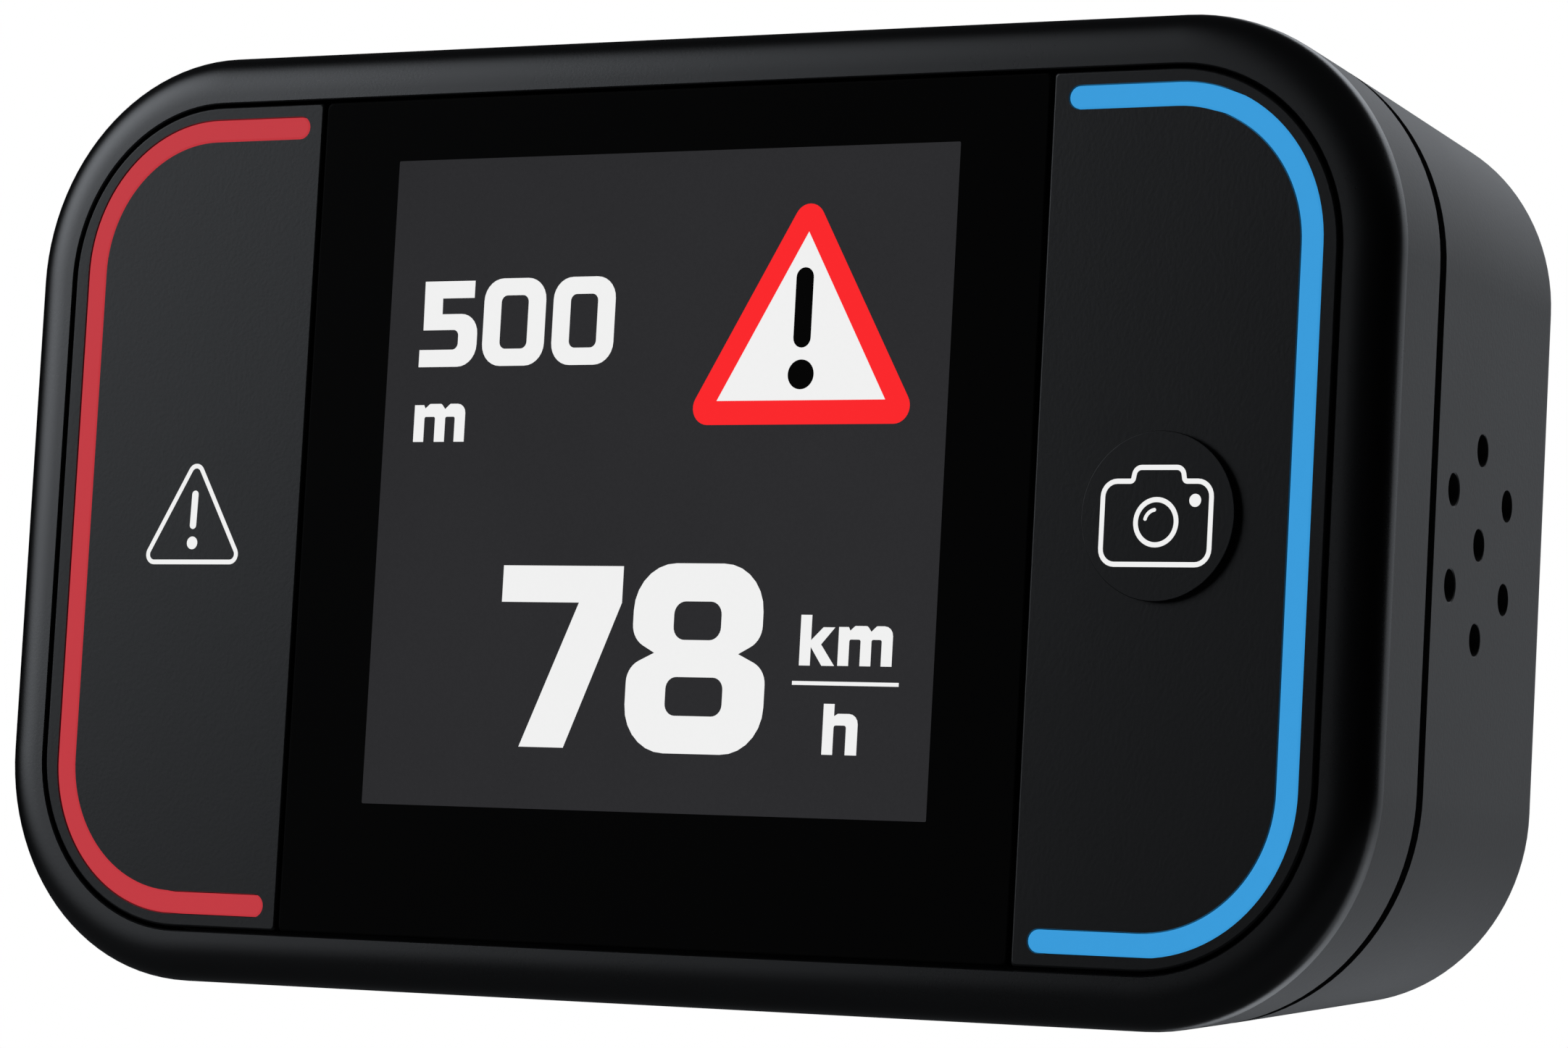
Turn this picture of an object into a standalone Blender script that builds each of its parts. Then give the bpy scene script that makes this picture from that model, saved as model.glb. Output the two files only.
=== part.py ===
"""Dash-mounted traffic alarm: two shells around a display, two sprung side buttons and the electronics.

The front faces -Y, +Z is up and +X is to the viewer's right. The origin is the centre of the rear pad's
outer face. Every place along Y is given as a depth behind the front face of the buttons, and to_y() turns
it into a coordinate.
"""

import math

import bmesh
import bpy
from mathutils import Matrix, Vector

MM = 0.001

# Outer body
BODY_WIDTH = 66.7 * MM
BODY_HEIGHT = 40.65 * MM
BODY_DEPTH = 19.9 * MM
CORNER_RADIUS = 9.87 * MM
DRAFT = 0.091
WALL = 1.6 * MM
REAR_EDGE = 0.8 * MM

# Bezel
RIM_WIDTH = 2.17 * MM
RIM_END = 1.42 * MM
RIM_FULLNESS = 3.0
FLANGE_THICKNESS = 1.0 * MM
FLANGE_REACH = 0.8 * MM

# Seam between the two shells
SEAM_FRONT = 5.2 * MM
SEAM_WIDTH = 0.75 * MM
SEAM_DEPTH = 0.45 * MM
LIP_OVERLAP = 1.3 * MM
RABBET_WALL = 0.7 * MM

# Clearances
STACK_GAP = 0.05 * MM
FIT_GAP = 0.1 * MM
LOOSE_GAP = 0.2 * MM
PART_GAP = 0.4 * MM
BUTTON_GAP = 0.15 * MM
GUIDE_GAP = 0.04 * MM
OVERCUT = 1.0 * MM

# Display
GLASS_THICKNESS = 1.1 * MM
GLASS_BEVEL = 0.12 * MM
GLASS_CORNER = 0.2 * MM
DISPLAY_THICKNESS = 2.4 * MM
DISPLAY_CORNER = 0.8 * MM
DISPLAY_SIDE_BORDER = 1.9 * MM
DISPLAY_EDGE_GAP = 0.25 * MM
DISPLAY_BACK_GAP = 0.25 * MM
FLEX_WIDTH = 11.0 * MM
FLEX_THICKNESS = 0.3 * MM
FLEX_FROM_EDGE = 1.3 * MM
FLEX_FOOT = 4.0 * MM

# Buttons
BUTTON_WIDTH = 13.005 * MM
BUTTON_THICKNESS = 1.6 * MM
BUTTON_TRAVEL = 0.4 * MM
BUTTON_PAD_RADIUS = 3.4 * MM
BUTTON_PAD_HEIGHT = 0.32 * MM
PUSHER_RADIUS = 1.6 * MM
PUSHER_LENGTH = 0.7 * MM
PIN_RADIUS = 0.9 * MM
PIN_HEAD_RADIUS = 1.3 * MM
PIN_HEAD_LENGTH = 0.8 * MM
PIN_FROM_GLASS = 4.2 * MM
PIN_FROM_TOP = 6.005 * MM

# Light guides
GUIDE_WIDTH = 0.93 * MM
GUIDE_DEPTH = 0.85 * MM
GUIDE_FROM_SIDE = 1.17 * MM
GUIDE_FROM_TOP = 1.05 * MM
GUIDE_BEND_INSET = 1.36 * MM
GUIDE_END_FROM_GLASS = 1.2 * MM
LEG_RADIUS = 0.35 * MM
LEG_FROM_BEND = 1.765 * MM
LED_SIZE = 0.9 * MM
LED_HEIGHT = 0.5 * MM
LED_CLEARANCE = 0.3 * MM

# Inner frame, board and what is on it
FRAME_THICKNESS = 1.1 * MM
FRAME_RIB = 1.5 * MM
BOARD_STANDOFF = 1.7 * MM
BOARD_THICKNESS = 1.0 * MM
PART_HEIGHT = 2.6 * MM
POST_RADIUS = 2.1 * MM
POST_FROM_SIDE_WALL = 4.75 * MM
POST_FROM_TOP_WALL = 4.7 * MM
SWITCH_FROM_GLASS = 5.775 * MM
SWITCH_SIDE = 4.5 * MM
SWITCH_FLOOR = 1.2 * MM
PLUNGER_RADIUS = 1.0 * MM
PLUNGER_GAP = 0.15 * MM
PLUNGER_PROUD = 1.2 * MM
CHIPS_Z = 3.0 * MM
PROCESSOR_X = -8.0 * MM
PROCESSOR_SIDE = 9.0 * MM
PROCESSOR_HEIGHT = 1.0 * MM
RADIO_X = 8.5 * MM
RADIO_WIDTH = 13.0 * MM
RADIO_LENGTH = 11.0 * MM
RADIO_HEIGHT = 2.0 * MM
ANTENNA_SIDE = 9.0 * MM
ANTENNA_THICKNESS = 4.0 * MM
BATTERY_FROM_POSTS = 7.9 * MM
BATTERY_ABOVE_WALL = 3.0 * MM
BATTERY_CORNER = 1.2 * MM
BATTERY_PAD = 0.8 * MM
BATTERY_PAD_INSET = 3.0 * MM

# Screws
SCREW_RADIUS = 1.0 * MM
SCREW_HEAD_RADIUS = 1.8 * MM
SCREW_HEAD_HEIGHT = 1.3 * MM
SCREW_LENGTH = 9.5 * MM
SCREW_BITE = 2.5 * MM
SCREW_SLOT_DEPTH = 0.7 * MM
SCREW_SLOT_LENGTH = 2.1 * MM
SCREW_SLOT_WIDTH = 0.56 * MM
COUNTERBORE_DEPTH = 1.9 * MM

# Speaker on the right wall
SPEAKER_DEPTH = 11.38 * MM
SPEAKER_RADIUS = 5.4 * MM
SPEAKER_THICKNESS = 3.4 * MM
SOUND_HOLE_RADIUS = 0.667 * MM
SOUND_HOLE_RING = 3.85 * MM
GASKET_THICKNESS = 0.5 * MM
GASKET_WIDTH = 0.7 * MM
MESH_THICKNESS = 0.15 * MM

# Charging socket on the left wall
SOCKET_WIDTH = 8.94 * MM
SOCKET_HEIGHT = 3.26 * MM
SOCKET_LENGTH = 7.35 * MM
SOCKET_WALL = 0.3 * MM
SOCKET_FLOOR = 1.0 * MM
SOCKET_SETBACK = 0.6 * MM
TONGUE_SETBACK = 0.8 * MM
TONGUE_WIDTH = 6.7 * MM
TONGUE_THICKNESS = 0.7 * MM

# Rear pad and magnet
PAD_FROM_SCREWS = 5.2 * MM
PAD_FROM_TOP = 7.825 * MM
PAD_CORNER = 4.0 * MM
PAD_RECESS = 0.9 * MM
PAD_PROUD = 0.3 * MM
MAGNET_RADIUS = 7.0 * MM
MAGNET_THICKNESS = 1.2 * MM
MAGNET_WALL = 0.7 * MM

# Fineness of the curves
CORNER_STEPS = 9
ROUND_STEPS = 24
PAD_STEPS = 40
LEG_STEPS = 12
SMALLEST_RADIUS = 0.05 * MM

# Places that follow from the sizes above
FRONT_Y = -(BODY_DEPTH + PAD_PROUD)
OPENING_HALF_WIDTH = BODY_WIDTH / 2 - RIM_WIDTH
OPENING_HALF_HEIGHT = BODY_HEIGHT / 2 - RIM_WIDTH
BUTTON_SIDE = OPENING_HALF_WIDTH - BUTTON_GAP
BUTTON_TOP = OPENING_HALF_HEIGHT - BUTTON_GAP
BUTTON_CORNER = CORNER_RADIUS - RIM_WIDTH - BUTTON_GAP
BUTTON_INNER = BUTTON_SIDE - BUTTON_WIDTH
GLASS_EDGE = BUTTON_INNER - BUTTON_GAP
DISPLAY_FRONT = GLASS_THICKNESS + STACK_GAP
DISPLAY_BACK = DISPLAY_FRONT + DISPLAY_THICKNESS
DISPLAY_TOP = OPENING_HALF_HEIGHT - FLANGE_REACH - DISPLAY_EDGE_GAP
FRAME_FRONT = DISPLAY_BACK + DISPLAY_BACK_GAP
FRAME_BACK = FRAME_FRONT + FRAME_THICKNESS
FLANGE_BACK = FRAME_FRONT - FIT_GAP
FLANGE_FRONT = FLANGE_BACK - FLANGE_THICKNESS
BOARD_FRONT = FRAME_BACK + BOARD_STANDOFF
BOARD_BACK = BOARD_FRONT + BOARD_THICKNESS
SEAM_BACK = SEAM_FRONT + SEAM_WIDTH
LIP_END = SEAM_BACK + LIP_OVERLAP
REAR_INNER = BODY_DEPTH - WALL
PAD_FLOOR = BODY_DEPTH - PAD_RECESS
MAGNET_POCKET = PAD_FLOOR - MAGNET_THICKNESS - FIT_GAP
MAGNET_BOSS = MAGNET_POCKET - MAGNET_WALL
SWITCH_X = BUTTON_INNER + SWITCH_FROM_GLASS
PUSHER_END = BUTTON_THICKNESS + PUSHER_LENGTH
PIN_X = BUTTON_INNER + PIN_FROM_GLASS
PIN_Z = BUTTON_TOP - PIN_FROM_TOP
POST_X = BODY_WIDTH / 2 - WALL - POST_FROM_SIDE_WALL
POST_Z = BODY_HEIGHT / 2 - WALL - POST_FROM_TOP_WALL
GUIDE_X = BUTTON_SIDE - GUIDE_FROM_SIDE
GUIDE_Z = BUTTON_TOP - GUIDE_FROM_TOP
GUIDE_RADIUS = BUTTON_CORNER - GUIDE_BEND_INSET
LEG_Z = GUIDE_Z - GUIDE_RADIUS - LEG_FROM_BEND
FLEX_Z = FLEX_FROM_EDGE - DISPLAY_TOP
LED_FRONT = BOARD_FRONT - STACK_GAP - LED_HEIGHT
LEG_END = LED_FRONT - BUTTON_TRAVEL - LED_CLEARANCE
BATTERY_REAR = MAGNET_BOSS - FIT_GAP - BATTERY_PAD - STACK_GAP
BATTERY_FRONT = BOARD_BACK + PART_HEIGHT
SCREW_SEAT = BODY_DEPTH - COUNTERBORE_DEPTH
SCREW_TIP = SCREW_SEAT - SCREW_LENGTH
POST_END = SCREW_TIP + SCREW_BITE
SOCKET_DEPTH = BOARD_BACK + STACK_GAP + SOCKET_HEIGHT / 2
PAD_HALF_WIDTH = POST_X - SCREW_HEAD_RADIUS - PAD_FROM_SCREWS
PAD_HALF_HEIGHT = BODY_HEIGHT / 2 - PAD_FROM_TOP

# Colour, roughness and metallic value of each finish
FINISHES = {
    "shell_plastic": ((0.030, 0.030, 0.032), 0.42, 0.0),
    "rear_plastic": ((0.048, 0.048, 0.050), 0.55, 0.0),
    "button_plastic": ((0.024, 0.024, 0.026), 0.50, 0.0),
    "black_glass": ((0.002, 0.002, 0.002), 0.08, 0.0),
    "red_diffuser": ((0.540, 0.040, 0.053), 0.45, 0.0),
    "blue_diffuser": ((0.041, 0.333, 0.716), 0.45, 0.0),
    "black_rubber": ((0.010, 0.010, 0.010), 0.85, 0.0),
    "frame_plastic": ((0.050, 0.050, 0.055), 0.60, 0.0),
    "board_laminate": ((0.010, 0.090, 0.040), 0.45, 0.0),
    "display_metal": ((0.550, 0.560, 0.580), 0.35, 0.9),
    "flex_film": ((0.430, 0.180, 0.030), 0.40, 0.0),
    "chip_resin": ((0.020, 0.020, 0.022), 0.50, 0.0),
    "shield_metal": ((0.620, 0.630, 0.640), 0.30, 1.0),
    "antenna_ceramic": ((0.560, 0.500, 0.400), 0.60, 0.0),
    "battery_foil": ((0.600, 0.610, 0.630), 0.40, 0.7),
    "foam": ((0.060, 0.060, 0.060), 0.95, 0.0),
    "speaker_metal": ((0.280, 0.280, 0.290), 0.40, 0.8),
    "mesh_fabric": ((0.008, 0.008, 0.008), 0.90, 0.0),
    "socket_steel": ((0.640, 0.640, 0.650), 0.28, 1.0),
    "screw_steel": ((0.180, 0.180, 0.190), 0.35, 1.0),
    "magnet_nickel": ((0.660, 0.640, 0.600), 0.22, 1.0),
    "led_body": ((0.800, 0.780, 0.620), 0.40, 0.0),
    "switch_plastic": ((0.040, 0.040, 0.042), 0.50, 0.0),
    "plunger_plastic": ((0.700, 0.700, 0.680), 0.45, 0.0),
}


# Scene helpers


def clear_scene():
    for obj in list(bpy.data.objects):
        bpy.data.objects.remove(obj, do_unlink=True)


def finish_material(finish):
    """The Principled material of a finish, made once."""
    found = bpy.data.materials.get(finish)
    if found:
        return found
    colour, roughness, metallic = FINISHES[finish]
    material = bpy.data.materials.new(finish)
    material.use_nodes = True
    shader = material.node_tree.nodes["Principled BSDF"]
    shader.inputs["Base Color"].default_value = (*colour, 1.0)
    shader.inputs["Roughness"].default_value = roughness
    shader.inputs["Metallic"].default_value = metallic
    return material


def add_object(name, bm, finish=None):
    """Links the bmesh as a new object. Without a finish it is a cutter or an added shape, not a part."""
    bmesh.ops.recalc_face_normals(bm, faces=bm.faces)
    mesh = bpy.data.meshes.new(name)
    bm.to_mesh(mesh)
    bm.free()
    mesh.shade_smooth()
    mesh.set_sharp_from_angle(angle=math.radians(30))
    obj = bpy.data.objects.new(name, mesh)
    bpy.context.scene.collection.objects.link(obj)
    if finish:
        mesh.materials.append(finish_material(finish))
    else:
        obj.hide_render = True
        obj.display_type = "WIRE"
    return obj


def combine(obj, other, operation):
    modifier = obj.modifiers.new(operation.title(), "BOOLEAN")
    modifier.operation = operation
    modifier.solver = "EXACT"
    modifier.object = other
    if other.parent is None:
        other.parent = obj
    return obj


def cut(obj, *cutters):
    for cutter in cutters:
        combine(obj, cutter, "DIFFERENCE")


def join(obj, *shapes):
    for shape in shapes:
        combine(obj, shape, "UNION")


def to_y(depth):
    """The Y coordinate of a plane this far behind the front face of the buttons."""
    return FRONT_Y + depth


def taper(depth):
    """How far the draft has drawn the outer walls in at a depth."""
    return DRAFT * max(0.0, depth - RIM_END)


def inner_top():
    """Half the height inside the rear shell, where it is lowest."""
    return BODY_HEIGHT / 2 - taper(REAR_INNER) - WALL


# Shape helpers


def rounded_outline(half_width, half_height, radius, steps=CORNER_STEPS):
    """Points (x, z) of a rounded rectangle, counted the same way whatever its size."""
    radius = max(radius, SMALLEST_RADIUS)
    centres = [(1, 1, 0), (-1, 1, 90), (-1, -1, 180), (1, -1, 270)]
    points = []
    for side_x, side_z, start in centres:
        for step in range(steps + 1):
            angle = math.radians(start + 90 * step / steps)
            x = side_x * (half_width - radius) + radius * math.cos(angle)
            z = side_z * (half_height - radius) + radius * math.sin(angle)
            points.append((x, z))
    return points


def body_outline(inset):
    """The body's outline, drawn in by an inset on every side."""
    return rounded_outline(BODY_WIDTH / 2 - inset, BODY_HEIGHT / 2 - inset, CORNER_RADIUS - inset)


def bridge(bm, first, second):
    """A band of faces between two loops of equally many points."""
    for i in range(len(first)):
        j = (i + 1) % len(first)
        bm.faces.new((first[i], first[j], second[j], second[i]))


def skin(bm, loops, ring):
    """Faces over loops in order. A ring joins the last loop to the first; otherwise the ends are capped."""
    for first, second in zip(loops, loops[1:]):
        bridge(bm, first, second)
    if ring:
        bridge(bm, loops[-1], loops[0])
    else:
        bm.faces.new(loops[0])
        bm.faces.new(loops[-1])


def loft(name, sections, finish=None, ring=False):
    """Skins (outline, depth) sections in order, as skin() says."""
    bm = bmesh.new()
    loops = [[bm.verts.new((x, to_y(depth), z)) for x, z in outline] for outline, depth in sections]
    skin(bm, loops, ring)
    return add_object(name, bm, finish)


def prism(name, outline, front, back, finish=None):
    """An outline in X and Z, drawn from one depth to another."""
    return loft(name, [(outline, front), (outline, back)], finish)


def block(name, x_range, depth_range, z_range, finish=None):
    (x0, x1), (z0, z1) = x_range, z_range
    return prism(name, [(x0, z0), (x1, z0), (x1, z1), (x0, z1)], *depth_range, finish)


def circle_outline(x, z, radius, steps=ROUND_STEPS):
    turn = 2 * math.pi / steps
    return [(x + radius * math.cos(turn * i), z + radius * math.sin(turn * i)) for i in range(steps)]


def rod(name, x, z, radius, front, back, finish=None, steps=ROUND_STEPS):
    return prism(name, circle_outline(x, z, radius, steps), front, back, finish)


def stepped_rod(name, x, z, levels, finish=None):
    """A turned pin along Y. Each level is (radius, front depth, back depth), and they follow on."""
    sections = []
    for radius, front, back in levels:
        sections.append((circle_outline(x, z, radius), front))
        sections.append((circle_outline(x, z, radius), back))
    return loft(name, sections, finish)


def arc(centre_x, centre_z, radius, start, end, steps=CORNER_STEPS):
    points = []
    for step in range(steps + 1):
        angle = math.radians(start + (end - start) * step / steps)
        points.append((centre_x + radius * math.cos(angle), centre_z + radius * math.sin(angle)))
    return points


# Bezel, rear shell and the seal between them


def crown_sections():
    """The bezel's soft rim, from its inner edge, flush with the panels, to where the side wall starts.

    A fullness of 2 is a plain quarter ellipse, and a higher one is a squarer curve.
    """
    sections = []
    steps = 11
    power = 2 / RIM_FULLNESS
    for step in range(steps + 1):
        angle = math.radians(90 * (1 - step / steps))
        inset = RIM_WIDTH * (1 - math.cos(angle) ** power)
        depth = RIM_END * (1 - math.sin(angle) ** power)
        sections.append((body_outline(inset), depth))
    return sections


def make_front_bezel():
    lip_outer = taper(LIP_END) + RABBET_WALL + FIT_GAP
    seam_inset = taper(SEAM_FRONT)
    flange = RIM_WIDTH + FLANGE_REACH
    sections = crown_sections() + [
        (body_outline(seam_inset), SEAM_FRONT),
        (body_outline(lip_outer), SEAM_FRONT),
        (body_outline(lip_outer), LIP_END),
        (body_outline(RIM_WIDTH), LIP_END),
        (body_outline(RIM_WIDTH), FLANGE_BACK),
        (body_outline(flange), FLANGE_BACK),
        (body_outline(flange), FLANGE_FRONT),
        (body_outline(RIM_WIDTH), FLANGE_FRONT),
    ]
    bezel = loft("front_bezel", sections, "shell_plastic", ring=True)
    relief_face = speaker_stack()[0] - FIT_GAP
    cut(bezel, wall_disc("speaker_relief", SPEAKER_RADIUS + LOOSE_GAP, relief_face, 2 * WALL))
    return bezel


def make_seam_gasket():
    outer = taper(SEAM_FRONT) + SEAM_DEPTH
    inner = taper(LIP_END) + RABBET_WALL + FIT_GAP - STACK_GAP
    front, back = SEAM_FRONT + STACK_GAP, SEAM_BACK - STACK_GAP
    corners = [(outer, front), (outer, back), (inner, back), (inner, front)]
    sections = [(body_outline(inset), depth) for inset, depth in corners]
    return loft("seam_gasket", sections, "black_rubber", ring=True)


def sound_hole_places():
    """(distance along the wall, height) of the speaker's holes: one at the centre and six round it."""
    ring = [math.radians(90 + 60 * i) for i in range(6)]
    return [(0.0, 0.0)] + [(SOUND_HOLE_RING * math.cos(a), SOUND_HOLE_RING * math.sin(a)) for a in ring]


def right_wall_frame(distance_in):
    """A frame on the right wall: +Z out through the wall, +Y up, its origin this far inside the face."""
    angle = math.atan(DRAFT)
    outward = Vector((math.cos(angle), math.sin(angle), 0.0))
    face = Vector((BODY_WIDTH / 2 - taper(SPEAKER_DEPTH), to_y(SPEAKER_DEPTH), 0.0))
    origin = face - outward * distance_in
    up = Vector((0.0, 0.0, 1.0))
    along = up.cross(outward)
    rotation = Matrix((along, up, outward)).transposed().to_4x4()
    return Matrix.Translation(origin) @ rotation


def wall_disc(name, radius, inside, thickness, finish=None, centre=(0.0, 0.0), bore=0.0):
    """A disc, or a ring with a bore, along the right wall, its outer face this far inside the wall's face."""
    bm = bmesh.new()
    rings = [(radius, 0.0), (radius, -thickness)]
    if bore:
        rings += [(bore, -thickness), (bore, 0.0)]
    loops = []
    for ring_radius, level in rings:
        outline = circle_outline(*centre, ring_radius)
        loops.append([bm.verts.new((x, y, level)) for x, y in outline])
    skin(bm, loops, ring=bore > 0)
    obj = add_object(name, bm, finish)
    obj.matrix_world = right_wall_frame(inside)
    return obj


def rear_edge_sections():
    """The rear shell's rounded back edge."""
    sections = []
    for step in range(5):
        angle = math.radians(90 * step / 4)
        depth = BODY_DEPTH - REAR_EDGE * (1 - math.sin(angle))
        inset = taper(BODY_DEPTH) + REAR_EDGE * (1 - math.cos(angle))
        sections.append((body_outline(inset), depth))
    return sections


def stadium_x(name, centre_depth, width, height, x_range, finish=None, bore=None):
    """A flat-sided tube or bar along X with round ends. Width is along Z and height along Y."""
    bm = bmesh.new()

    def loop(half_width, half_height, x):
        outline = rounded_outline(half_width, half_height, half_height)
        return [bm.verts.new((x, to_y(centre_depth) + h, w)) for w, h in outline]

    x0, x1 = x_range
    loops = [loop(width / 2, height / 2, x0), loop(width / 2, height / 2, x1)]
    if bore:
        wall, floor = bore
        loops.append(loop(width / 2 - wall, height / 2 - wall, x1))
        loops.append(loop(width / 2 - wall, height / 2 - wall, x0 + floor))
    skin(bm, loops, ring=False)
    return add_object(name, bm, finish)


def pad_outline(margin, steps=CORNER_STEPS):
    """The rear pad's outline, grown by a margin for the recess that it lies in."""
    return rounded_outline(PAD_HALF_WIDTH + margin, PAD_HALF_HEIGHT + margin, PAD_CORNER + margin, steps)


def corner_places():
    """(name, x, z) of the four screws."""
    for row, side_z in (("top", 1), ("bottom", -1)):
        for column, side_x in (("left", -1), ("right", 1)):
            yield f"{row}_{column}", side_x * POST_X, side_z * POST_Z


def make_rear_shell():
    rabbet_end = LIP_END + FIT_GAP
    sections = [
        (body_outline(taper(REAR_INNER) + WALL), REAR_INNER),
        (body_outline(taper(rabbet_end) + WALL), rabbet_end),
        (body_outline(taper(rabbet_end) + RABBET_WALL), rabbet_end),
        (body_outline(taper(SEAM_BACK) + RABBET_WALL), SEAM_BACK),
        (body_outline(taper(SEAM_BACK)), SEAM_BACK),
    ] + rear_edge_sections()
    shell = loft("rear_shell", sections, "rear_plastic")
    for corner, x, z in corner_places():
        join(shell, rod(f"rear_post_{corner}", x, z, POST_RADIUS, POST_END + FIT_GAP, REAR_INNER + WALL / 2))
    boss_radius = MAGNET_RADIUS + MAGNET_WALL + FIT_GAP
    join(shell, rod("magnet_boss", 0, 0, boss_radius, MAGNET_BOSS, REAR_INNER + WALL / 4))
    for corner, x, z in corner_places():
        head_depths = (SCREW_SEAT, BODY_DEPTH + OVERCUT)
        cut(shell, rod(f"counterbore_{corner}", x, z, SCREW_HEAD_RADIUS + LOOSE_GAP, *head_depths))
        cut(shell, rod(f"clearance_{corner}", x, z, SCREW_RADIUS + LOOSE_GAP, POST_END - OVERCUT, BODY_DEPTH))
    cut(shell, prism("pad_recess", pad_outline(FIT_GAP), PAD_FLOOR, BODY_DEPTH + OVERCUT))
    cut(shell, rod("magnet_pocket", 0, 0, MAGNET_RADIUS + FIT_GAP, MAGNET_POCKET, BODY_DEPTH))
    for number, place in enumerate(sound_hole_places()):
        through = (-OVERCUT, WALL + 2 * OVERCUT)
        cut(shell, wall_disc(f"sound_hole_{number}", SOUND_HOLE_RADIUS, *through, centre=place))
    side = -BODY_WIDTH / 2
    mouth_size = (SOCKET_WIDTH + 2 * LOOSE_GAP, SOCKET_HEIGHT + 2 * LOOSE_GAP)
    mouth_range = (side - OVERCUT, side + WALL + taper(REAR_INNER) + OVERCUT)
    cut(shell, stadium_x("socket_mouth", SOCKET_DEPTH, *mouth_size, mouth_range))
    return shell


# Display


def make_display_glass():
    bevelled = rounded_outline(GLASS_EDGE - GLASS_BEVEL, BUTTON_TOP - GLASS_BEVEL, GLASS_CORNER, 3)
    full = rounded_outline(GLASS_EDGE, BUTTON_TOP, GLASS_CORNER, 3)
    sections = [(bevelled, 0.0), (full, GLASS_BEVEL), (full, GLASS_THICKNESS)]
    return loft("display_glass", sections, "black_glass")


def make_display_module():
    half_width = GLASS_EDGE - DISPLAY_SIDE_BORDER - FIT_GAP
    outline = rounded_outline(half_width, DISPLAY_TOP, DISPLAY_CORNER, 4)
    return prism("display_module", outline, DISPLAY_FRONT, DISPLAY_BACK, "display_metal")


def make_display_flex():
    """A flat cable that runs back through the inner frame and turns up onto the board."""
    start = DISPLAY_BACK + STACK_GAP
    end = BOARD_FRONT - STACK_GAP
    z = FLEX_Z - FLEX_THICKNESS / 2
    half = FLEX_WIDTH / 2
    profile = [
        (start, z),
        (end, z),
        (end, z + FLEX_FOOT),
        (end - FLEX_THICKNESS, z + FLEX_FOOT),
        (end - FLEX_THICKNESS, z + FLEX_THICKNESS),
        (start, z + FLEX_THICKNESS),
    ]
    bm = bmesh.new()
    loops = [[bm.verts.new((x, to_y(depth), height)) for depth, height in profile] for x in (-half, half)]
    skin(bm, loops, ring=False)
    return add_object("display_flex", bm, "flex_film")


# Buttons and light guides


def guide_path(side):
    """Centre line of a light guide: outwards from the glass, round two corners and back."""
    end_x = BUTTON_INNER + GUIDE_END_FROM_GLASS
    corner_x = GUIDE_X - GUIDE_RADIUS
    corner_z = GUIDE_Z - GUIDE_RADIUS
    points = [(end_x, -GUIDE_Z)]
    points += arc(corner_x, -corner_z, GUIDE_RADIUS, -90, 0)
    points += arc(corner_x, corner_z, GUIDE_RADIUS, 0, 90)
    points += [(end_x, GUIDE_Z)]
    return [(side * x, z) for x, z in points]


def stroke_outline(path, width, cap_steps=6):
    """The outline of a round-ended stroke along a smooth path."""
    count = len(path)
    left, right = [], []
    for i, (x, z) in enumerate(path):
        before = Vector(path[max(i - 1, 0)])
        after = Vector(path[min(i + 1, count - 1)])
        along = (after - before).normalized()
        across = Vector((-along.y, along.x)) * (width / 2)
        left.append((x + across.x, z + across.y))
        right.append((x - across.x, z - across.y))

    def cap(index, start_point):
        x, z = path[index]
        start = math.atan2(start_point[1] - z, start_point[0] - x)
        turns = [start - math.pi * step / cap_steps for step in range(1, cap_steps)]
        return [(x + width / 2 * math.cos(t), z + width / 2 * math.sin(t)) for t in turns]

    return left + cap(-1, left[-1]) + right[::-1] + cap(0, right[0])


def leg_places(side):
    return [(side * GUIDE_X, z) for z in (LEG_Z, -LEG_Z)]


def make_light_guide(name, side, finish):
    guide = prism(name, stroke_outline(guide_path(side), GUIDE_WIDTH), 0.0, GUIDE_DEPTH, finish)
    for number, (x, z) in enumerate(leg_places(side)):
        join(guide, rod(f"{name}_leg_{number}", x, z, LEG_RADIUS, GUIDE_DEPTH / 2, LEG_END, steps=LEG_STEPS))
    return guide


def button_outline(side):
    """A panel that fills one end of the bezel's opening."""
    corner_x = BUTTON_SIDE - BUTTON_CORNER
    corner_z = BUTTON_TOP - BUTTON_CORNER
    points = [(BUTTON_INNER, -BUTTON_TOP)]
    points += arc(corner_x, -corner_z, BUTTON_CORNER, -90, 0)
    points += arc(corner_x, corner_z, BUTTON_CORNER, 0, 90)
    points += [(BUTTON_INNER, BUTTON_TOP)]
    return [(side * x, z) for x, z in points]


def pin_places(side):
    return [(side * PIN_X, z) for z in (PIN_Z, -PIN_Z)]


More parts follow.
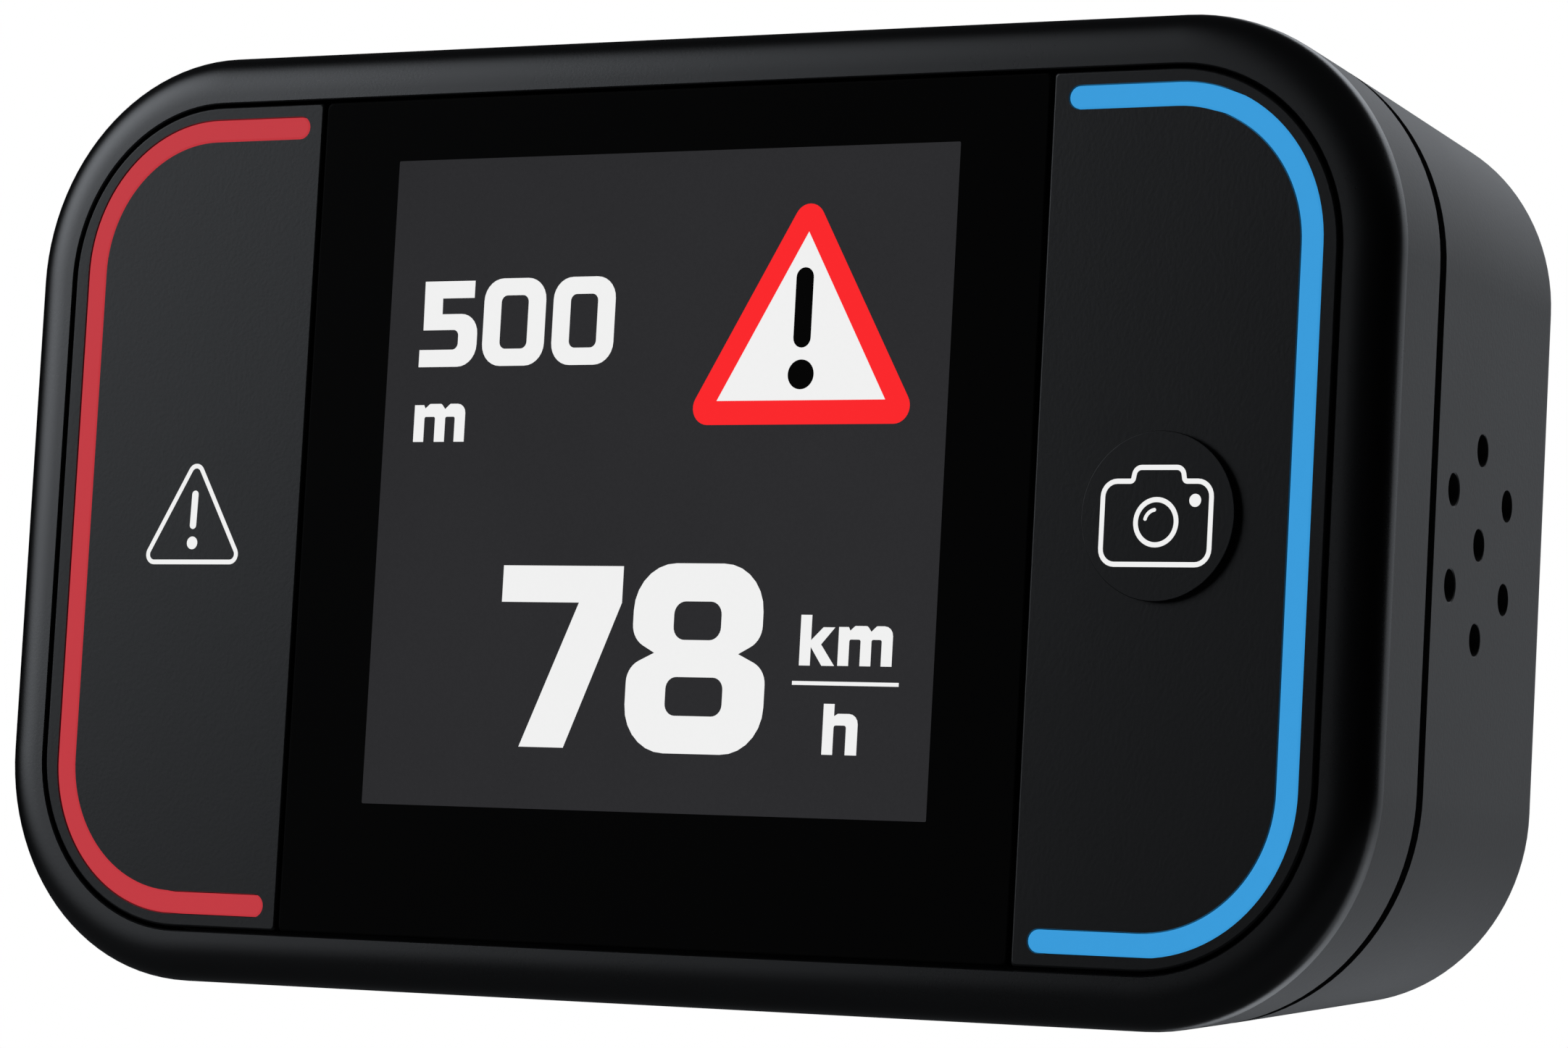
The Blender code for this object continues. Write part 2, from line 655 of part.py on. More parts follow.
def make_button(name, side, raised_pad):
    button = prism(name, button_outline(side), 0.0, BUTTON_THICKNESS, "button_plastic")
    inside = BUTTON_THICKNESS / 2
    if raised_pad:
        pad_depths = (-BUTTON_PAD_HEIGHT, inside)
        join(button, rod(f"{name}_pad", side * SWITCH_X, 0, BUTTON_PAD_RADIUS, *pad_depths, steps=PAD_STEPS))
    join(button, rod(f"{name}_pusher", side * SWITCH_X, 0, PUSHER_RADIUS, inside, PUSHER_END))
    head_front = FRAME_BACK + FIT_GAP
    for number, (x, z) in enumerate(pin_places(side)):
        shank = (PIN_RADIUS, inside, head_front)
        head = (PIN_HEAD_RADIUS, head_front, head_front + PIN_HEAD_LENGTH)
        join(button, stepped_rod(f"{name}_pin_{number}", x, z, [shank, head]))
    groove = stroke_outline(guide_path(side), GUIDE_WIDTH + 2 * GUIDE_GAP)
    cut(button, prism(f"{name}_groove", groove, -OVERCUT, GUIDE_DEPTH + STACK_GAP))
    for number, (x, z) in enumerate(leg_places(side)):
        size = (LEG_RADIUS + GUIDE_GAP, 0.0, 2 * BUTTON_THICKNESS)
        cut(button, rod(f"{name}_leg_hole_{number}", x, z, *size, steps=LEG_STEPS))
    return button


def make_switch(name, side):
    """A tact switch body with a bore that its plunger moves in."""
    x = side * SWITCH_X
    half = SWITCH_SIDE / 2
    plunger_front = PUSHER_END + STACK_GAP
    body_front = plunger_front + PLUNGER_PROUD
    body_back = BOARD_FRONT - STACK_GAP
    bore_end = body_back - SWITCH_FLOOR
    switch = block(name, (x - half, x + half), (body_front, body_back), (-half, half), "switch_plastic")
    cut(switch, rod(f"{name}_bore", x, 0, PLUNGER_RADIUS + PLUNGER_GAP, 0.0, bore_end))
    plunger_end = bore_end - BUTTON_TRAVEL - PLUNGER_GAP
    plunger = rod(f"{name}_plunger", x, 0, PLUNGER_RADIUS, plunger_front, plunger_end, "plunger_plastic")
    return switch, plunger


def make_led(name, x, z):
    half = LED_SIZE / 2
    depths = (LED_FRONT, LED_FRONT + LED_HEIGHT)
    return block(name, (x - half, x + half), depths, (z - half, z + half), "led_body")


def make_side(name, side, finish, raised_pad):
    """One button with all that moves with it, on an empty at its joint; then its switch and lamps."""
    axis = bpy.data.objects.new(f"{name}_button_axis", None)
    axis.location = (side * SWITCH_X, FRONT_Y, 0.0)
    bpy.context.scene.collection.objects.link(axis)
    button = make_button(f"{name}_button", side, raised_pad)
    guide = make_light_guide(f"{name}_light_guide", side, finish)
    switch, plunger = make_switch(f"{name}_switch", side)
    for moving in (button, guide, plunger):
        moving.parent = axis
        moving.matrix_parent_inverse = Matrix.Translation(axis.location).inverted()
    for place, (x, z) in zip(("top", "bottom"), leg_places(side)):
        make_led(f"{name}_led_{place}", x, z)


# Inner frame and board


def make_inner_frame():
    """The plate that carries the glass on two ribs and takes the four screws in its posts."""
    outline = body_outline(RIM_WIDTH + BUTTON_GAP)
    frame = prism("inner_frame", outline, FRAME_FRONT, FRAME_BACK, "frame_plastic")
    inside = FRAME_FRONT + FRAME_THICKNESS / 2
    rib_half = OPENING_HALF_HEIGHT - FLANGE_REACH - LOOSE_GAP
    rib_outer = GLASS_EDGE - DISPLAY_SIDE_BORDER + LOOSE_GAP + FRAME_RIB
    for side in (-1, 1):
        x_range = sorted((side * (rib_outer - FRAME_RIB), side * rib_outer))
        join(frame, block(f"frame_rib_{side}", x_range, (DISPLAY_FRONT, inside), (-rib_half, rib_half)))
    for corner, x, z in corner_places():
        join(frame, rod(f"frame_post_{corner}", x, z, POST_RADIUS, inside, POST_END))
        thread_depths = (SCREW_TIP - FIT_GAP, POST_END + OVERCUT)
        cut(frame, rod(f"frame_thread_{corner}", x, z, SCREW_RADIUS + STACK_GAP, *thread_depths))
    through = (FRAME_FRONT - OVERCUT, FRAME_BACK + OVERCUT)
    for name, side in (("left", -1), ("right", 1)):
        for number, (x, z) in enumerate(pin_places(side)):
            cut(frame, rod(f"pin_hole_{name}_{number}", x, z, PIN_RADIUS + BUTTON_GAP, *through))
        for number, (x, z) in enumerate(leg_places(side)):
            cut(frame, rod(f"leg_hole_{name}_{number}", x, z, LEG_RADIUS + LOOSE_GAP, *through))
        x, half = side * SWITCH_X, SWITCH_SIDE / 2 + LOOSE_GAP
        cut(frame, block(f"switch_hole_{name}", (x - half, x + half), through, (-half, half)))
    half_width = FLEX_WIDTH / 2 + PART_GAP
    half_height = FLEX_THICKNESS / 2 + PART_GAP
    slot = (FLEX_Z - half_height, FLEX_Z + half_height)
    cut(frame, block("flex_slot", (-half_width, half_width), through, slot))
    return frame


def speaker_stack():
    """Distances inside the right wall's face: the gasket's outer face, the mesh's and the speaker's."""
    gasket = WALL / math.cos(math.atan(DRAFT)) + STACK_GAP
    return gasket, gasket + STACK_GAP, gasket + GASKET_THICKNESS + STACK_GAP


def make_main_board():
    """The circuit board, with holes for the posts and a notch for the speaker."""
    inset = max(RIM_WIDTH, taper(BOARD_BACK) + WALL) + PART_GAP
    board = prism("main_board", body_outline(inset), BOARD_FRONT, BOARD_BACK, "board_laminate")
    through = (BOARD_FRONT - OVERCUT, BOARD_BACK + OVERCUT)
    for corner, x, z in corner_places():
        cut(board, rod(f"board_hole_{corner}", x, z, POST_RADIUS + LOOSE_GAP, *through))
    lean = DRAFT * SPEAKER_RADIUS
    back_of_speaker = speaker_stack()[2] + SPEAKER_THICKNESS + lean
    notch_x = BODY_WIDTH / 2 - taper(SPEAKER_DEPTH) - back_of_speaker - PART_GAP
    half = SPEAKER_RADIUS + PART_GAP
    cut(board, block("speaker_notch", (notch_x, BODY_WIDTH / 2), through, (-half, half)))
    return board


def on_board(height):
    """Depths of a part of this height soldered to the back of the board."""
    front = BOARD_BACK + STACK_GAP
    return front, front + height


def antenna_bottom():
    return inner_top() - PART_GAP - ANTENNA_THICKNESS


def make_board_parts():
    half = PROCESSOR_SIDE / 2
    x_range = (PROCESSOR_X - half, PROCESSOR_X + half)
    z_range = (CHIPS_Z - half, CHIPS_Z + half)
    block("processor", x_range, on_board(PROCESSOR_HEIGHT), z_range, "chip_resin")
    x_range = (RADIO_X - RADIO_WIDTH / 2, RADIO_X + RADIO_WIDTH / 2)
    z_range = (CHIPS_Z - RADIO_LENGTH / 2, CHIPS_Z + RADIO_LENGTH / 2)
    block("radio_module", x_range, on_board(RADIO_HEIGHT), z_range, "shield_metal")
    half = ANTENNA_SIDE / 2
    z_range = (antenna_bottom(), antenna_bottom() + ANTENNA_THICKNESS)
    block("satellite_antenna", (-half, half), on_board(ANTENNA_SIDE), z_range, "antenna_ceramic")


def make_battery():
    """The battery pouch under the antenna, and the foam that holds it against the magnet's boss."""
    top = antenna_bottom() - 2 * PART_GAP
    bottom = BATTERY_ABOVE_WALL - inner_top()
    half_width = POST_X - POST_RADIUS - BATTERY_FROM_POSTS
    half_height = (top - bottom) / 2
    middle = (top + bottom) / 2
    outline = rounded_outline(half_width, half_height, BATTERY_CORNER, 4)
    raised = [(x, z + middle) for x, z in outline]
    prism("battery", raised, BATTERY_FRONT, BATTERY_REAR, "battery_foil")
    pad_front = BATTERY_REAR + STACK_GAP
    x_range = (BATTERY_PAD_INSET - half_width, half_width - BATTERY_PAD_INSET)
    z_range = (bottom + BATTERY_PAD_INSET, top - BATTERY_PAD_INSET)
    block("battery_pad", x_range, (pad_front, pad_front + BATTERY_PAD), z_range, "foam")


def make_speaker():
    gasket, mesh, speaker = speaker_stack()
    bore = SPEAKER_RADIUS - GASKET_WIDTH
    wall_disc("speaker_gasket", SPEAKER_RADIUS, gasket, GASKET_THICKNESS, "foam", bore=bore)
    wall_disc("speaker_mesh", bore - LOOSE_GAP, mesh, MESH_THICKNESS, "mesh_fabric")
    wall_disc("speaker", SPEAKER_RADIUS, speaker, SPEAKER_THICKNESS, "speaker_metal")


def make_usb_socket():
    """The charging socket: a folded steel shell, open at the left, with its contact tongue inside."""
    mouth = taper(SOCKET_DEPTH) + SOCKET_SETBACK - BODY_WIDTH / 2
    back = mouth + SOCKET_LENGTH
    bore = (SOCKET_WALL, -SOCKET_FLOOR)
    stadium_x("usb_socket", SOCKET_DEPTH, SOCKET_WIDTH, SOCKET_HEIGHT, (back, mouth), "socket_steel", bore)
    tongue_x = (mouth + TONGUE_SETBACK, back - SOCKET_FLOOR - STACK_GAP)
    depths = (SOCKET_DEPTH - TONGUE_THICKNESS / 2, SOCKET_DEPTH + TONGUE_THICKNESS / 2)
    block("usb_tongue", tongue_x, depths, (-TONGUE_WIDTH / 2, TONGUE_WIDTH / 2), "chip_resin")


# What is fixed to the back


def make_screw(name, x, z):
    head_front = SCREW_SEAT + STACK_GAP
    head_back = head_front + SCREW_HEAD_HEIGHT
    levels = [(SCREW_RADIUS, SCREW_TIP, head_front), (SCREW_HEAD_RADIUS, head_front, head_back)]
    screw = stepped_rod(name, x, z, levels, "screw_steel")
    arm, half = SCREW_SLOT_LENGTH / 2, SCREW_SLOT_WIDTH / 2
    slot_depths = (head_back - SCREW_SLOT_DEPTH, head_back + OVERCUT)
    for number, (reach_x, reach_z) in enumerate(((arm, half), (half, arm))):
        x_range, z_range = (x - reach_x, x + reach_x), (z - reach_z, z + reach_z)
        cut(screw, block(f"{name}_slot_{number}", x_range, slot_depths, z_range))


def make_rear_fittings():
    for corner, x, z in corner_places():
        make_screw(f"screw_{corner}", x, z)
    magnet_depths = (MAGNET_POCKET + STACK_GAP, MAGNET_POCKET + MAGNET_THICKNESS)
    rod("mount_magnet", 0, 0, MAGNET_RADIUS, *magnet_depths, "magnet_nickel")
    pad_depths = (PAD_FLOOR + STACK_GAP, BODY_DEPTH + PAD_PROUD)
    prism("rear_pad", pad_outline(0.0, steps=6), *pad_depths, "black_rubber")


def main():
    clear_scene()
    make_front_bezel()
    make_seam_gasket()
    make_rear_shell()
    make_display_glass()
    make_display_module()
    make_display_flex()
    make_side("left", -1, "red_diffuser", raised_pad=False)
    make_side("right", 1, "blue_diffuser", raised_pad=True)
    make_inner_frame()
    make_main_board()
    make_board_parts()
    make_battery()
    make_speaker()
    make_usb_socket()
    make_rear_fittings()


main()
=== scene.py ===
"""The looks of a dash-mounted traffic alarm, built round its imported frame.

The front faces -Y, +Z is up and +X is to the driver's right, in metres. Depths are measured back from the
front face of the side buttons. Each operator makes one piece, or a group of like pieces.
"""

import math
from functools import partial

import bmesh
import bpy
from bpy.props import FloatProperty, FloatVectorProperty, PointerProperty
from mathutils import Matrix, Vector


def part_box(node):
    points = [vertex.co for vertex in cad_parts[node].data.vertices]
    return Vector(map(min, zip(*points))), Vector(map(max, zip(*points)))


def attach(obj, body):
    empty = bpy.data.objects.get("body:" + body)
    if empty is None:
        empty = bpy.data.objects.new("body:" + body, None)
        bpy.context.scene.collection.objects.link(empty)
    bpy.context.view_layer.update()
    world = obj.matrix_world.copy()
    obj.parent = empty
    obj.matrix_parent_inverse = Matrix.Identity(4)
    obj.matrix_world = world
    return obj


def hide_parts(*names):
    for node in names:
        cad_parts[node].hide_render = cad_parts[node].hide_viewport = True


bl_info = {
    "name": "Traffic Alarm",
    "version": (1, 0, 0),
    "blender": (4, 5, 0),
    "location": "3D View > Sidebar > Traffic Alarm",
    "description": "Builds the visible pieces and finishes of a dash-mounted traffic alarm",
    "category": "Object",
}

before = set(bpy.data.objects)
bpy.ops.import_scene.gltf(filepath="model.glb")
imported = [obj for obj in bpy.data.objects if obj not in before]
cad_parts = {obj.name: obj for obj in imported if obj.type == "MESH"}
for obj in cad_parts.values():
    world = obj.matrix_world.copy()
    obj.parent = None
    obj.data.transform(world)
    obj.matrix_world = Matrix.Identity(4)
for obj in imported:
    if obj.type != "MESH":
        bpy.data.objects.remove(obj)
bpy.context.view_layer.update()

MM = 0.001

# What the frame fixes
BEZEL_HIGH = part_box("front_bezel")[1]
SHELL_LOW, SHELL_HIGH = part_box("rear_shell")
GLASS_LOW, GLASS_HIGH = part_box("display_glass")
BUTTON_LOW, BUTTON_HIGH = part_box("right_button")
GUIDE_LOW, GUIDE_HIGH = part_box("right_light_guide")
GASKET_LOW, GASKET_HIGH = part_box("seam_gasket")
PAD_LOW, PAD_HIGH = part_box("rear_pad")
MAGNET_LOW, MAGNET_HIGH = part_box("mount_magnet")
SPEAKER_LOW, SPEAKER_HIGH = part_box("speaker_mesh")
SOCKET_LOW, SOCKET_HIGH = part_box("usb_socket")
SCREW_LOW, SCREW_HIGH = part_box("screw_top_right")
SWITCH_LOW, SWITCH_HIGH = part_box("right_switch")

FRONT = GLASS_LOW.y
HALF_WIDTH = BEZEL_HIGH.x
HALF_HEIGHT = BEZEL_HIGH.z
BACK_DEPTH = SHELL_HIGH.y - FRONT
LIP_DEPTH = BEZEL_HIGH.y - FRONT
SEAM_BACK = SHELL_LOW.y - FRONT
RAISED_PAD_HEIGHT = FRONT - BUTTON_LOW.y
BUTTON_INNER = BUTTON_LOW.x
BUTTON_SIDE = BUTTON_HIGH.x
BUTTON_TOP = BUTTON_HIGH.z
SWITCH_X = (SWITCH_LOW.x + SWITCH_HIGH.x) / 2
POST_PLACE = ((SCREW_LOW.x + SCREW_HIGH.x) / 2, (SCREW_LOW.z + SCREW_HIGH.z) / 2)

# Clearances and fineness
BUTTON_GAP = 0.15 * MM
GUIDE_GAP = 0.04 * MM
FIT_GAP = 0.1 * MM
OVERCUT = 1.0 * MM
CORNER_STEPS = 26
ROUND_STEPS = 48
SHARP_ANGLE = math.radians(32)
PRINT = 0.008 * MM
SIDES = {"left": -1, "right": 1}

# Sizes of what holds the pieces together
PAD_CORNER = 4.0 * MM
SCREW_HEAD_HEIGHT = 1.3 * MM
POST_RADIUS = 2.1 * MM
POST_LENGTH = 6.9 * MM
POST_HOLE_RADIUS = 1.2 * MM
MAGNET_BOSS_FLOOR = 0.7 * MM
MAGNET_BOSS_WALL = 0.8 * MM
PUSHER_RADIUS = 1.6 * MM
PUSHER_REACH = 0.7 * MM
PIN_RADIUS = 0.9 * MM
PIN_HEAD_RADIUS = 1.3 * MM
PIN_HEAD_HEIGHT = 0.8 * MM
PIN_FROM_INNER_EDGE = 4.2 * MM
PIN_FROM_TOP_EDGE = 6.005 * MM
LEG_RADIUS = 0.35 * MM


def screen_colour(red, green, blue):
    """A linear colour from display values of 0 to 255."""

    def linear(value):
        value /= 255
        return value / 12.92 if value <= 0.04045 else ((value + 0.055) / 1.055) ** 2.4

    return linear(red), linear(green), linear(blue)


# Sizes and colours that a user would change


def length(name, description, millimetres):
    default = millimetres * MM
    return FloatProperty(name=name, description=description, default=default, unit="LENGTH", precision=5)


def colour(name, description, *values):
    return FloatVectorProperty(
        name=name, description=description, default=screen_colour(*values), subtype="COLOR", min=0.0, max=1.0
    )


class AlarmBody(bpy.types.PropertyGroup):
    corner: length("Corner radius", "Radius of the body's four corners, seen from the front", 9.87)
    rim_width: length("Rim width", "From the body's side to the opening", 2.17)
    rim_fullness: FloatProperty(
        name="Rim fullness", description="2 is a quarter ellipse, and more is squarer", default=3.0
    )
    rim_break: length("Rim break", "Width of the broken inner edge of the rim", 0.06)
    rim_end: length("Rim end", "Depth at which the rounded rim meets the side wall", 1.42)
    seam_width: length("Seam width", "Width of the groove between the shells", 0.75)
    wall: length("Wall", "Thickness of the rear shell", 1.6)
    rabbet: length("Rabbet wall", "Thickness of the rear shell round the bezel's lip", 0.7)
    rear_edge: length("Rear edge", "Radius of the edge round the back", 0.8)
    flange_reach: length("Flange reach", "How far the ledge behind the panels reaches in", 0.8)
    flange_front: length("Flange front", "Depth of the ledge behind the panels", 2.7)
    flange_back: length("Flange back", "Depth of the ledge's rear face", 3.7)
    draft: FloatProperty(name="Draft", description="Inward lean of the outer walls", default=0.091)
    hole_radius: length("Sound hole radius", "Radius of each hole over the speaker", 0.667)
    hole_ring: length("Sound hole ring", "Radius of the circle that six of the holes lie on", 3.85)
    hole_edge: length("Sound hole edge", "Width of the broken edge of each hole", 0.06)


class AlarmFront(bpy.types.PropertyGroup):
    panel_edge: length("Panel edge", "Radius of the edges of the buttons and the glass", 0.11)
    panel_thickness: length("Panel thickness", "Thickness of the buttons", 1.6)
    pad_radius: length("Raised pad radius", "Radius of the round pad on the right button", 3.4)
    pad_edge: length("Raised pad edge", "Radius of the round pad's edge", 0.03)
    guide_width: length("Light width", "Width of the light in each button", 0.93)
    guide_depth: length("Light depth", "Depth of the groove that the light lies in", 0.85)
    guide_radius: length("Light corner", "Radius of the light's centre line", 6.19)
    guide_edge: length("Light edge", "Radius of the light's edges", 0.08)
    symbol_stroke: length("Symbol stroke", "Width of the lines of the button symbols", 0.205)
    screen: length("Screen", "Side of the square lit picture", 27.7)
    screen_raise: length("Screen place", "Height of the picture's centre", 1.47)


class AlarmColours(bpy.types.PropertyGroup):
    rim: colour("Rim", "Rounded rim of the bezel", 8, 8, 9)
    side: colour("Side", "Side walls of both shells", 41, 41, 42)
    panel: colour("Panel", "Side buttons", 9, 9, 10)
    glass: colour("Glass", "Cover glass outside the picture", 17, 17, 17)
    screen: colour("Screen", "Background of the lit picture", 44, 44, 46)
    figures: colour("Figures", "Figures on the picture and the lines of the symbols", 240, 240, 240)
    sign: colour("Sign", "Border of the warning sign", 250, 41, 45)
    red_light: colour("Red light", "Light in the left button", 195, 57, 65)
    blue_light: colour("Blue light", "Light in the right button", 57, 156, 220)


# Outlines, as points (x, z)


def arc(x, z, radius, start, end, steps):
    turns = [math.radians(start + (end - start) * step / steps) for step in range(steps + 1)]
    return [(x + radius * math.cos(turn), z + radius * math.sin(turn)) for turn in turns]


def circle(x, z, radius, steps=ROUND_STEPS):
    return arc(x, z, radius, 0, 360, steps)[:-1]


def rounded_rectangle(half_x, half_z, radius, steps=CORNER_STEPS, centre=(0.0, 0.0)):
    points = []
    for side_x, side_z, start in ((1, 1, 0), (-1, 1, 90), (-1, -1, 180), (1, -1, 270)):
        x = centre[0] + side_x * (half_x - radius)
        z = centre[1] + side_z * (half_z - radius)
        points += arc(x, z, radius, start, start + 90, steps)
    return points


def body_outline(body, inset):
    return rounded_rectangle(HALF_WIDTH - inset, HALF_HEIGHT - inset, body.corner - inset)


def taper(body, depth):
    """How far the draft has drawn the outer walls in at a depth."""
    return body.draft * max(0.0, depth - body.rim_end)


def filleted(corners, steps=7):
    """A closed outline from corners (x, z, radius), each rounded where its radius isn't zero."""
    points = []
    for i, (x, z, radius) in enumerate(corners):
        here = Vector((x, z))
        before = (Vector(corners[i - 1][:2]) - here).normalized()
        after = (Vector(corners[(i + 1) % len(corners)][:2]) - here).normalized()
        if radius == 0:
            points.append((x, z))
            continue
        half_angle = before.angle(after) / 2
        middle = here + (before + after).normalized() * (radius / math.sin(half_angle))
        first = here + before * (radius / math.tan(half_angle)) - middle
        last = here + after * (radius / math.tan(half_angle)) - middle
        turn = first.angle_signed(last)
        for step in range(steps + 1):
            spoke = Matrix.Rotation(-turn * step / steps, 2) @ first
            points.append(tuple(middle + spoke))
    return points


def rounded_hull(centres, radius):
    """The outline round circles at centres that run anticlockwise."""
    steps = 10
    points = []
    for i, centre in enumerate(centres):
        before = Vector(centre) - Vector(centres[i - 1])
        after = Vector(centres[(i + 1) % len(centres)]) - Vector(centre)
        start = math.degrees(math.atan2(before.y, before.x)) - 90
        turn = math.degrees(math.atan2(before.x * after.y - before.y * after.x, before.dot(after)))
        points += arc(*centre, radius, start, start + turn, steps)
    return points


def across(path, i, closed):
    """The unit vector to the left of a path at one of its points."""
    last = len(path) - 1
    before = path[i - 1] if closed else path[max(i - 1, 0)]
    after = path[(i + 1) % len(path)] if closed else path[min(i + 1, last)]
    along = (Vector(after) - Vector(before)).normalized()
    return Vector((-along.y, along.x))


def offset(path, distance, closed=True):
    moved = [Vector(point) + across(path, i, closed) * distance for i, point in enumerate(path)]
    return [tuple(point) for point in moved]


def open_stroke(path, width):
    """The outline of a round-ended line along a path."""
    cap_steps = 12
    left = offset(path, width / 2, closed=False)
    right = offset(path, -width / 2, closed=False)

    def cap(point, start_point):
        start = math.degrees(math.atan2(start_point[1] - point[1], start_point[0] - point[0]))
        return arc(*point, width / 2, start, start - 180, cap_steps)[1:-1]

    return left + cap(path[-1], left[-1]) + right[::-1] + cap(path[0], right[0])


# Meshes


def to_y(depth):
    return FRONT + depth


def in_scene(name, data):
    obj = bpy.data.objects.new(name, data)
    bpy.context.scene.collection.objects.link(obj)
    return obj


def evaluated_mesh(obj):
    """The plain mesh that an object's curves or modifiers come to."""
    graph = bpy.context.evaluated_depsgraph_get()
    return bpy.data.meshes.new_from_object(obj.evaluated_get(graph))


def clear_normals(obj):
    """Turns every face outward and shades the mesh smooth between its sharp edges."""
    bm = bmesh.new()
    bm.from_mesh(obj.data)
    bmesh.ops.recalc_face_normals(bm, faces=bm.faces)
    bm.to_mesh(obj.data)
    bm.free()
    obj.data.shade_smooth()
    obj.data.set_sharp_from_angle(angle=SHARP_ANGLE)


def new_object(name, bm, materials=()):
    mesh = bpy.data.meshes.new(name)
    bm.to_mesh(mesh)
    bm.free()
    obj = in_scene(name, mesh)
    for material in materials:
        mesh.materials.append(material)
    clear_normals(obj)
    return obj


def skin(bm, loops, ring=False, slots=None):
    """Faces over loops of equally many points; slots gives the material of each band."""
    loops = [[bm.verts.new(point) for point in loop] for loop in loops]
    pairs = list(zip(loops, loops[1:]))
    if ring:
        pairs.append((loops[-1], loops[0]))
    else:
        bm.faces.new(loops[0])
        bm.faces.new(loops[-1])
    count = len(loops[0])
    for band, (first, second) in enumerate(pairs):
        for i in range(count):
            j = (i + 1) % count
            face = bm.faces.new((first[i], first[j], second[j], second[i]))
            face.material_index = slots[band] if slots else 0


def loft(name, sections, materials=(), ring=False, slots=None):
    """A closed shape over (outline, depth) sections."""
    bm = bmesh.new()
    skin(bm, [[(x, to_y(depth), z) for x, z in outline] for outline, depth in sections], ring, slots)
    return new_object(name, bm, materials)


def prism(name, outline, front, back):
    return loft(name, [(outline, front), (outline, back)])


def edge_sections(outline_at, front, radius):
    """Sections of a rounded front edge. outline_at gives the outline for an inset."""
    steps = 4
    turns = [math.radians(90 * step / steps) for step in range(steps + 1)]
    return [(outline_at(radius * (1 - math.sin(t))), front + radius * (1 - math.cos(t))) for t in turns]


def bake(obj):
    """Turns an object's modifiers into its plain mesh."""
    mesh = evaluated_mesh(obj)
    obj.modifiers.clear()
    obj.data = mesh


def carve(obj, cutters, added=()):
    """Adds shapes to an object, cuts others out of it, and removes them all."""
    for operation, shapes in (("UNION", added), ("DIFFERENCE", cutters)):
        for shape in shapes:
            modifier = obj.modifiers.new(operation.title(), "BOOLEAN")
            modifier.operation = operation
            modifier.solver = "EXACT"
            modifier.object = shape
    bake(obj)
    clear_normals(obj)
    for shape in (*added, *cutters):
        bpy.data.objects.remove(shape)
    return obj


def plate(name, outlines, front, back, material):
    """A flat piece from closed outlines; one inside another is a hole."""
    curve = bpy.data.curves.new(name, "CURVE")
    curve.dimensions = "2D"
    curve.fill_mode = "BOTH"
    curve.extrude = (back - front) / MM / 2
    for outline in outlines:
        spline = curve.splines.new("POLY")
        spline.points.add(len(outline) - 1)
        for point, (x, z) in zip(spline.points, outline):
            point.co = (x / MM, z / MM, 0.0, 1.0)
        spline.use_cyclic_u = True
    source = in_scene(name, curve)
    mesh = evaluated_mesh(source)
    bpy.data.objects.remove(source)
    upright = Matrix.Rotation(math.radians(90), 4, "X")
    place = Matrix.Translation((0.0, to_y((front + back) / 2), 0.0))
    mesh.transform(place @ upright @ Matrix.Scale(MM, 4))
    bm = bmesh.new()
    bm.from_mesh(mesh)
    bpy.data.meshes.remove(mesh)
    bmesh.ops.remove_doubles(bm, verts=bm.verts, dist=PRINT / 20)
    return new_object(name, bm, [material])


def copies_tree():
    """Geometry Nodes that set a copy of a mould at each point and give it a material."""
    tree = bpy.data.node_groups.get("copies_on_points")
    if tree:
        return tree
    tree = bpy.data.node_groups.new("copies_on_points", "GeometryNodeTree")
    tree.is_modifier = True
    for label, kind in (("Geometry", "Geometry"), ("Mould", "Object"), ("Material", "Material")):
        tree.interface.new_socket(label, in_out="INPUT", socket_type=f"NodeSocket{kind}")
    tree.interface.new_socket("Geometry", in_out="OUTPUT", socket_type="NodeSocketGeometry")
    nodes, links = tree.nodes, tree.links
    start = nodes.new("NodeGroupInput")
    mould = nodes.new("GeometryNodeObjectInfo")
    instances = nodes.new("GeometryNodeInstanceOnPoints")
    real = nodes.new("GeometryNodeRealizeInstances")
    painted = nodes.new("GeometryNodeSetMaterial")
    end = nodes.new("NodeGroupOutput")
    links.new(start.outputs["Mould"], mould.inputs["Object"])
    links.new(start.outputs["Geometry"], instances.inputs["Points"])
    links.new(mould.outputs["Geometry"], instances.inputs["Instance"])
    links.new(instances.outputs["Instances"], real.inputs["Geometry"])
    links.new(real.outputs["Geometry"], painted.inputs["Geometry"])
    links.new(start.outputs["Material"], painted.inputs["Material"])
    links.new(painted.outputs["Geometry"], end.inputs["Geometry"])
    return tree


def copies(name, places, mould, material=None):
    """One plain mesh of a mould repeated at places; the mould is used up."""
    mesh = bpy.data.meshes.new(name)
    mesh.from_pydata([tuple(place) for place in places], [], [])
    obj = in_scene(name, mesh)
    modifier = obj.modifiers.new("Copies", "NODES")
    tree = copies_tree()
    sockets = {item.name: item.identifier for item in tree.interface.items_tree if item.in_out == "INPUT"}
    modifier.node_group = tree
    modifier[sockets["Mould"]] = mould
    modifier[sockets["Material"]] = material
    bake(obj)
    clear_normals(obj)
    bpy.data.objects.remove(mould)
    return obj


def belongs(obj, body, slot, *nodes):
    """Settles a finished piece's shading and makes it ride on a body, in place of its plain solids."""
    weighted = obj.modifiers.new("Flat faces", "WEIGHTED_NORMAL")
    weighted.weight = 100
    weighted.keep_sharp = True
    bake(obj)
    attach(obj, body)
    if nodes:
        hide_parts(*nodes)


# Shader groups: each puts out a height and a mask that vary over the surface


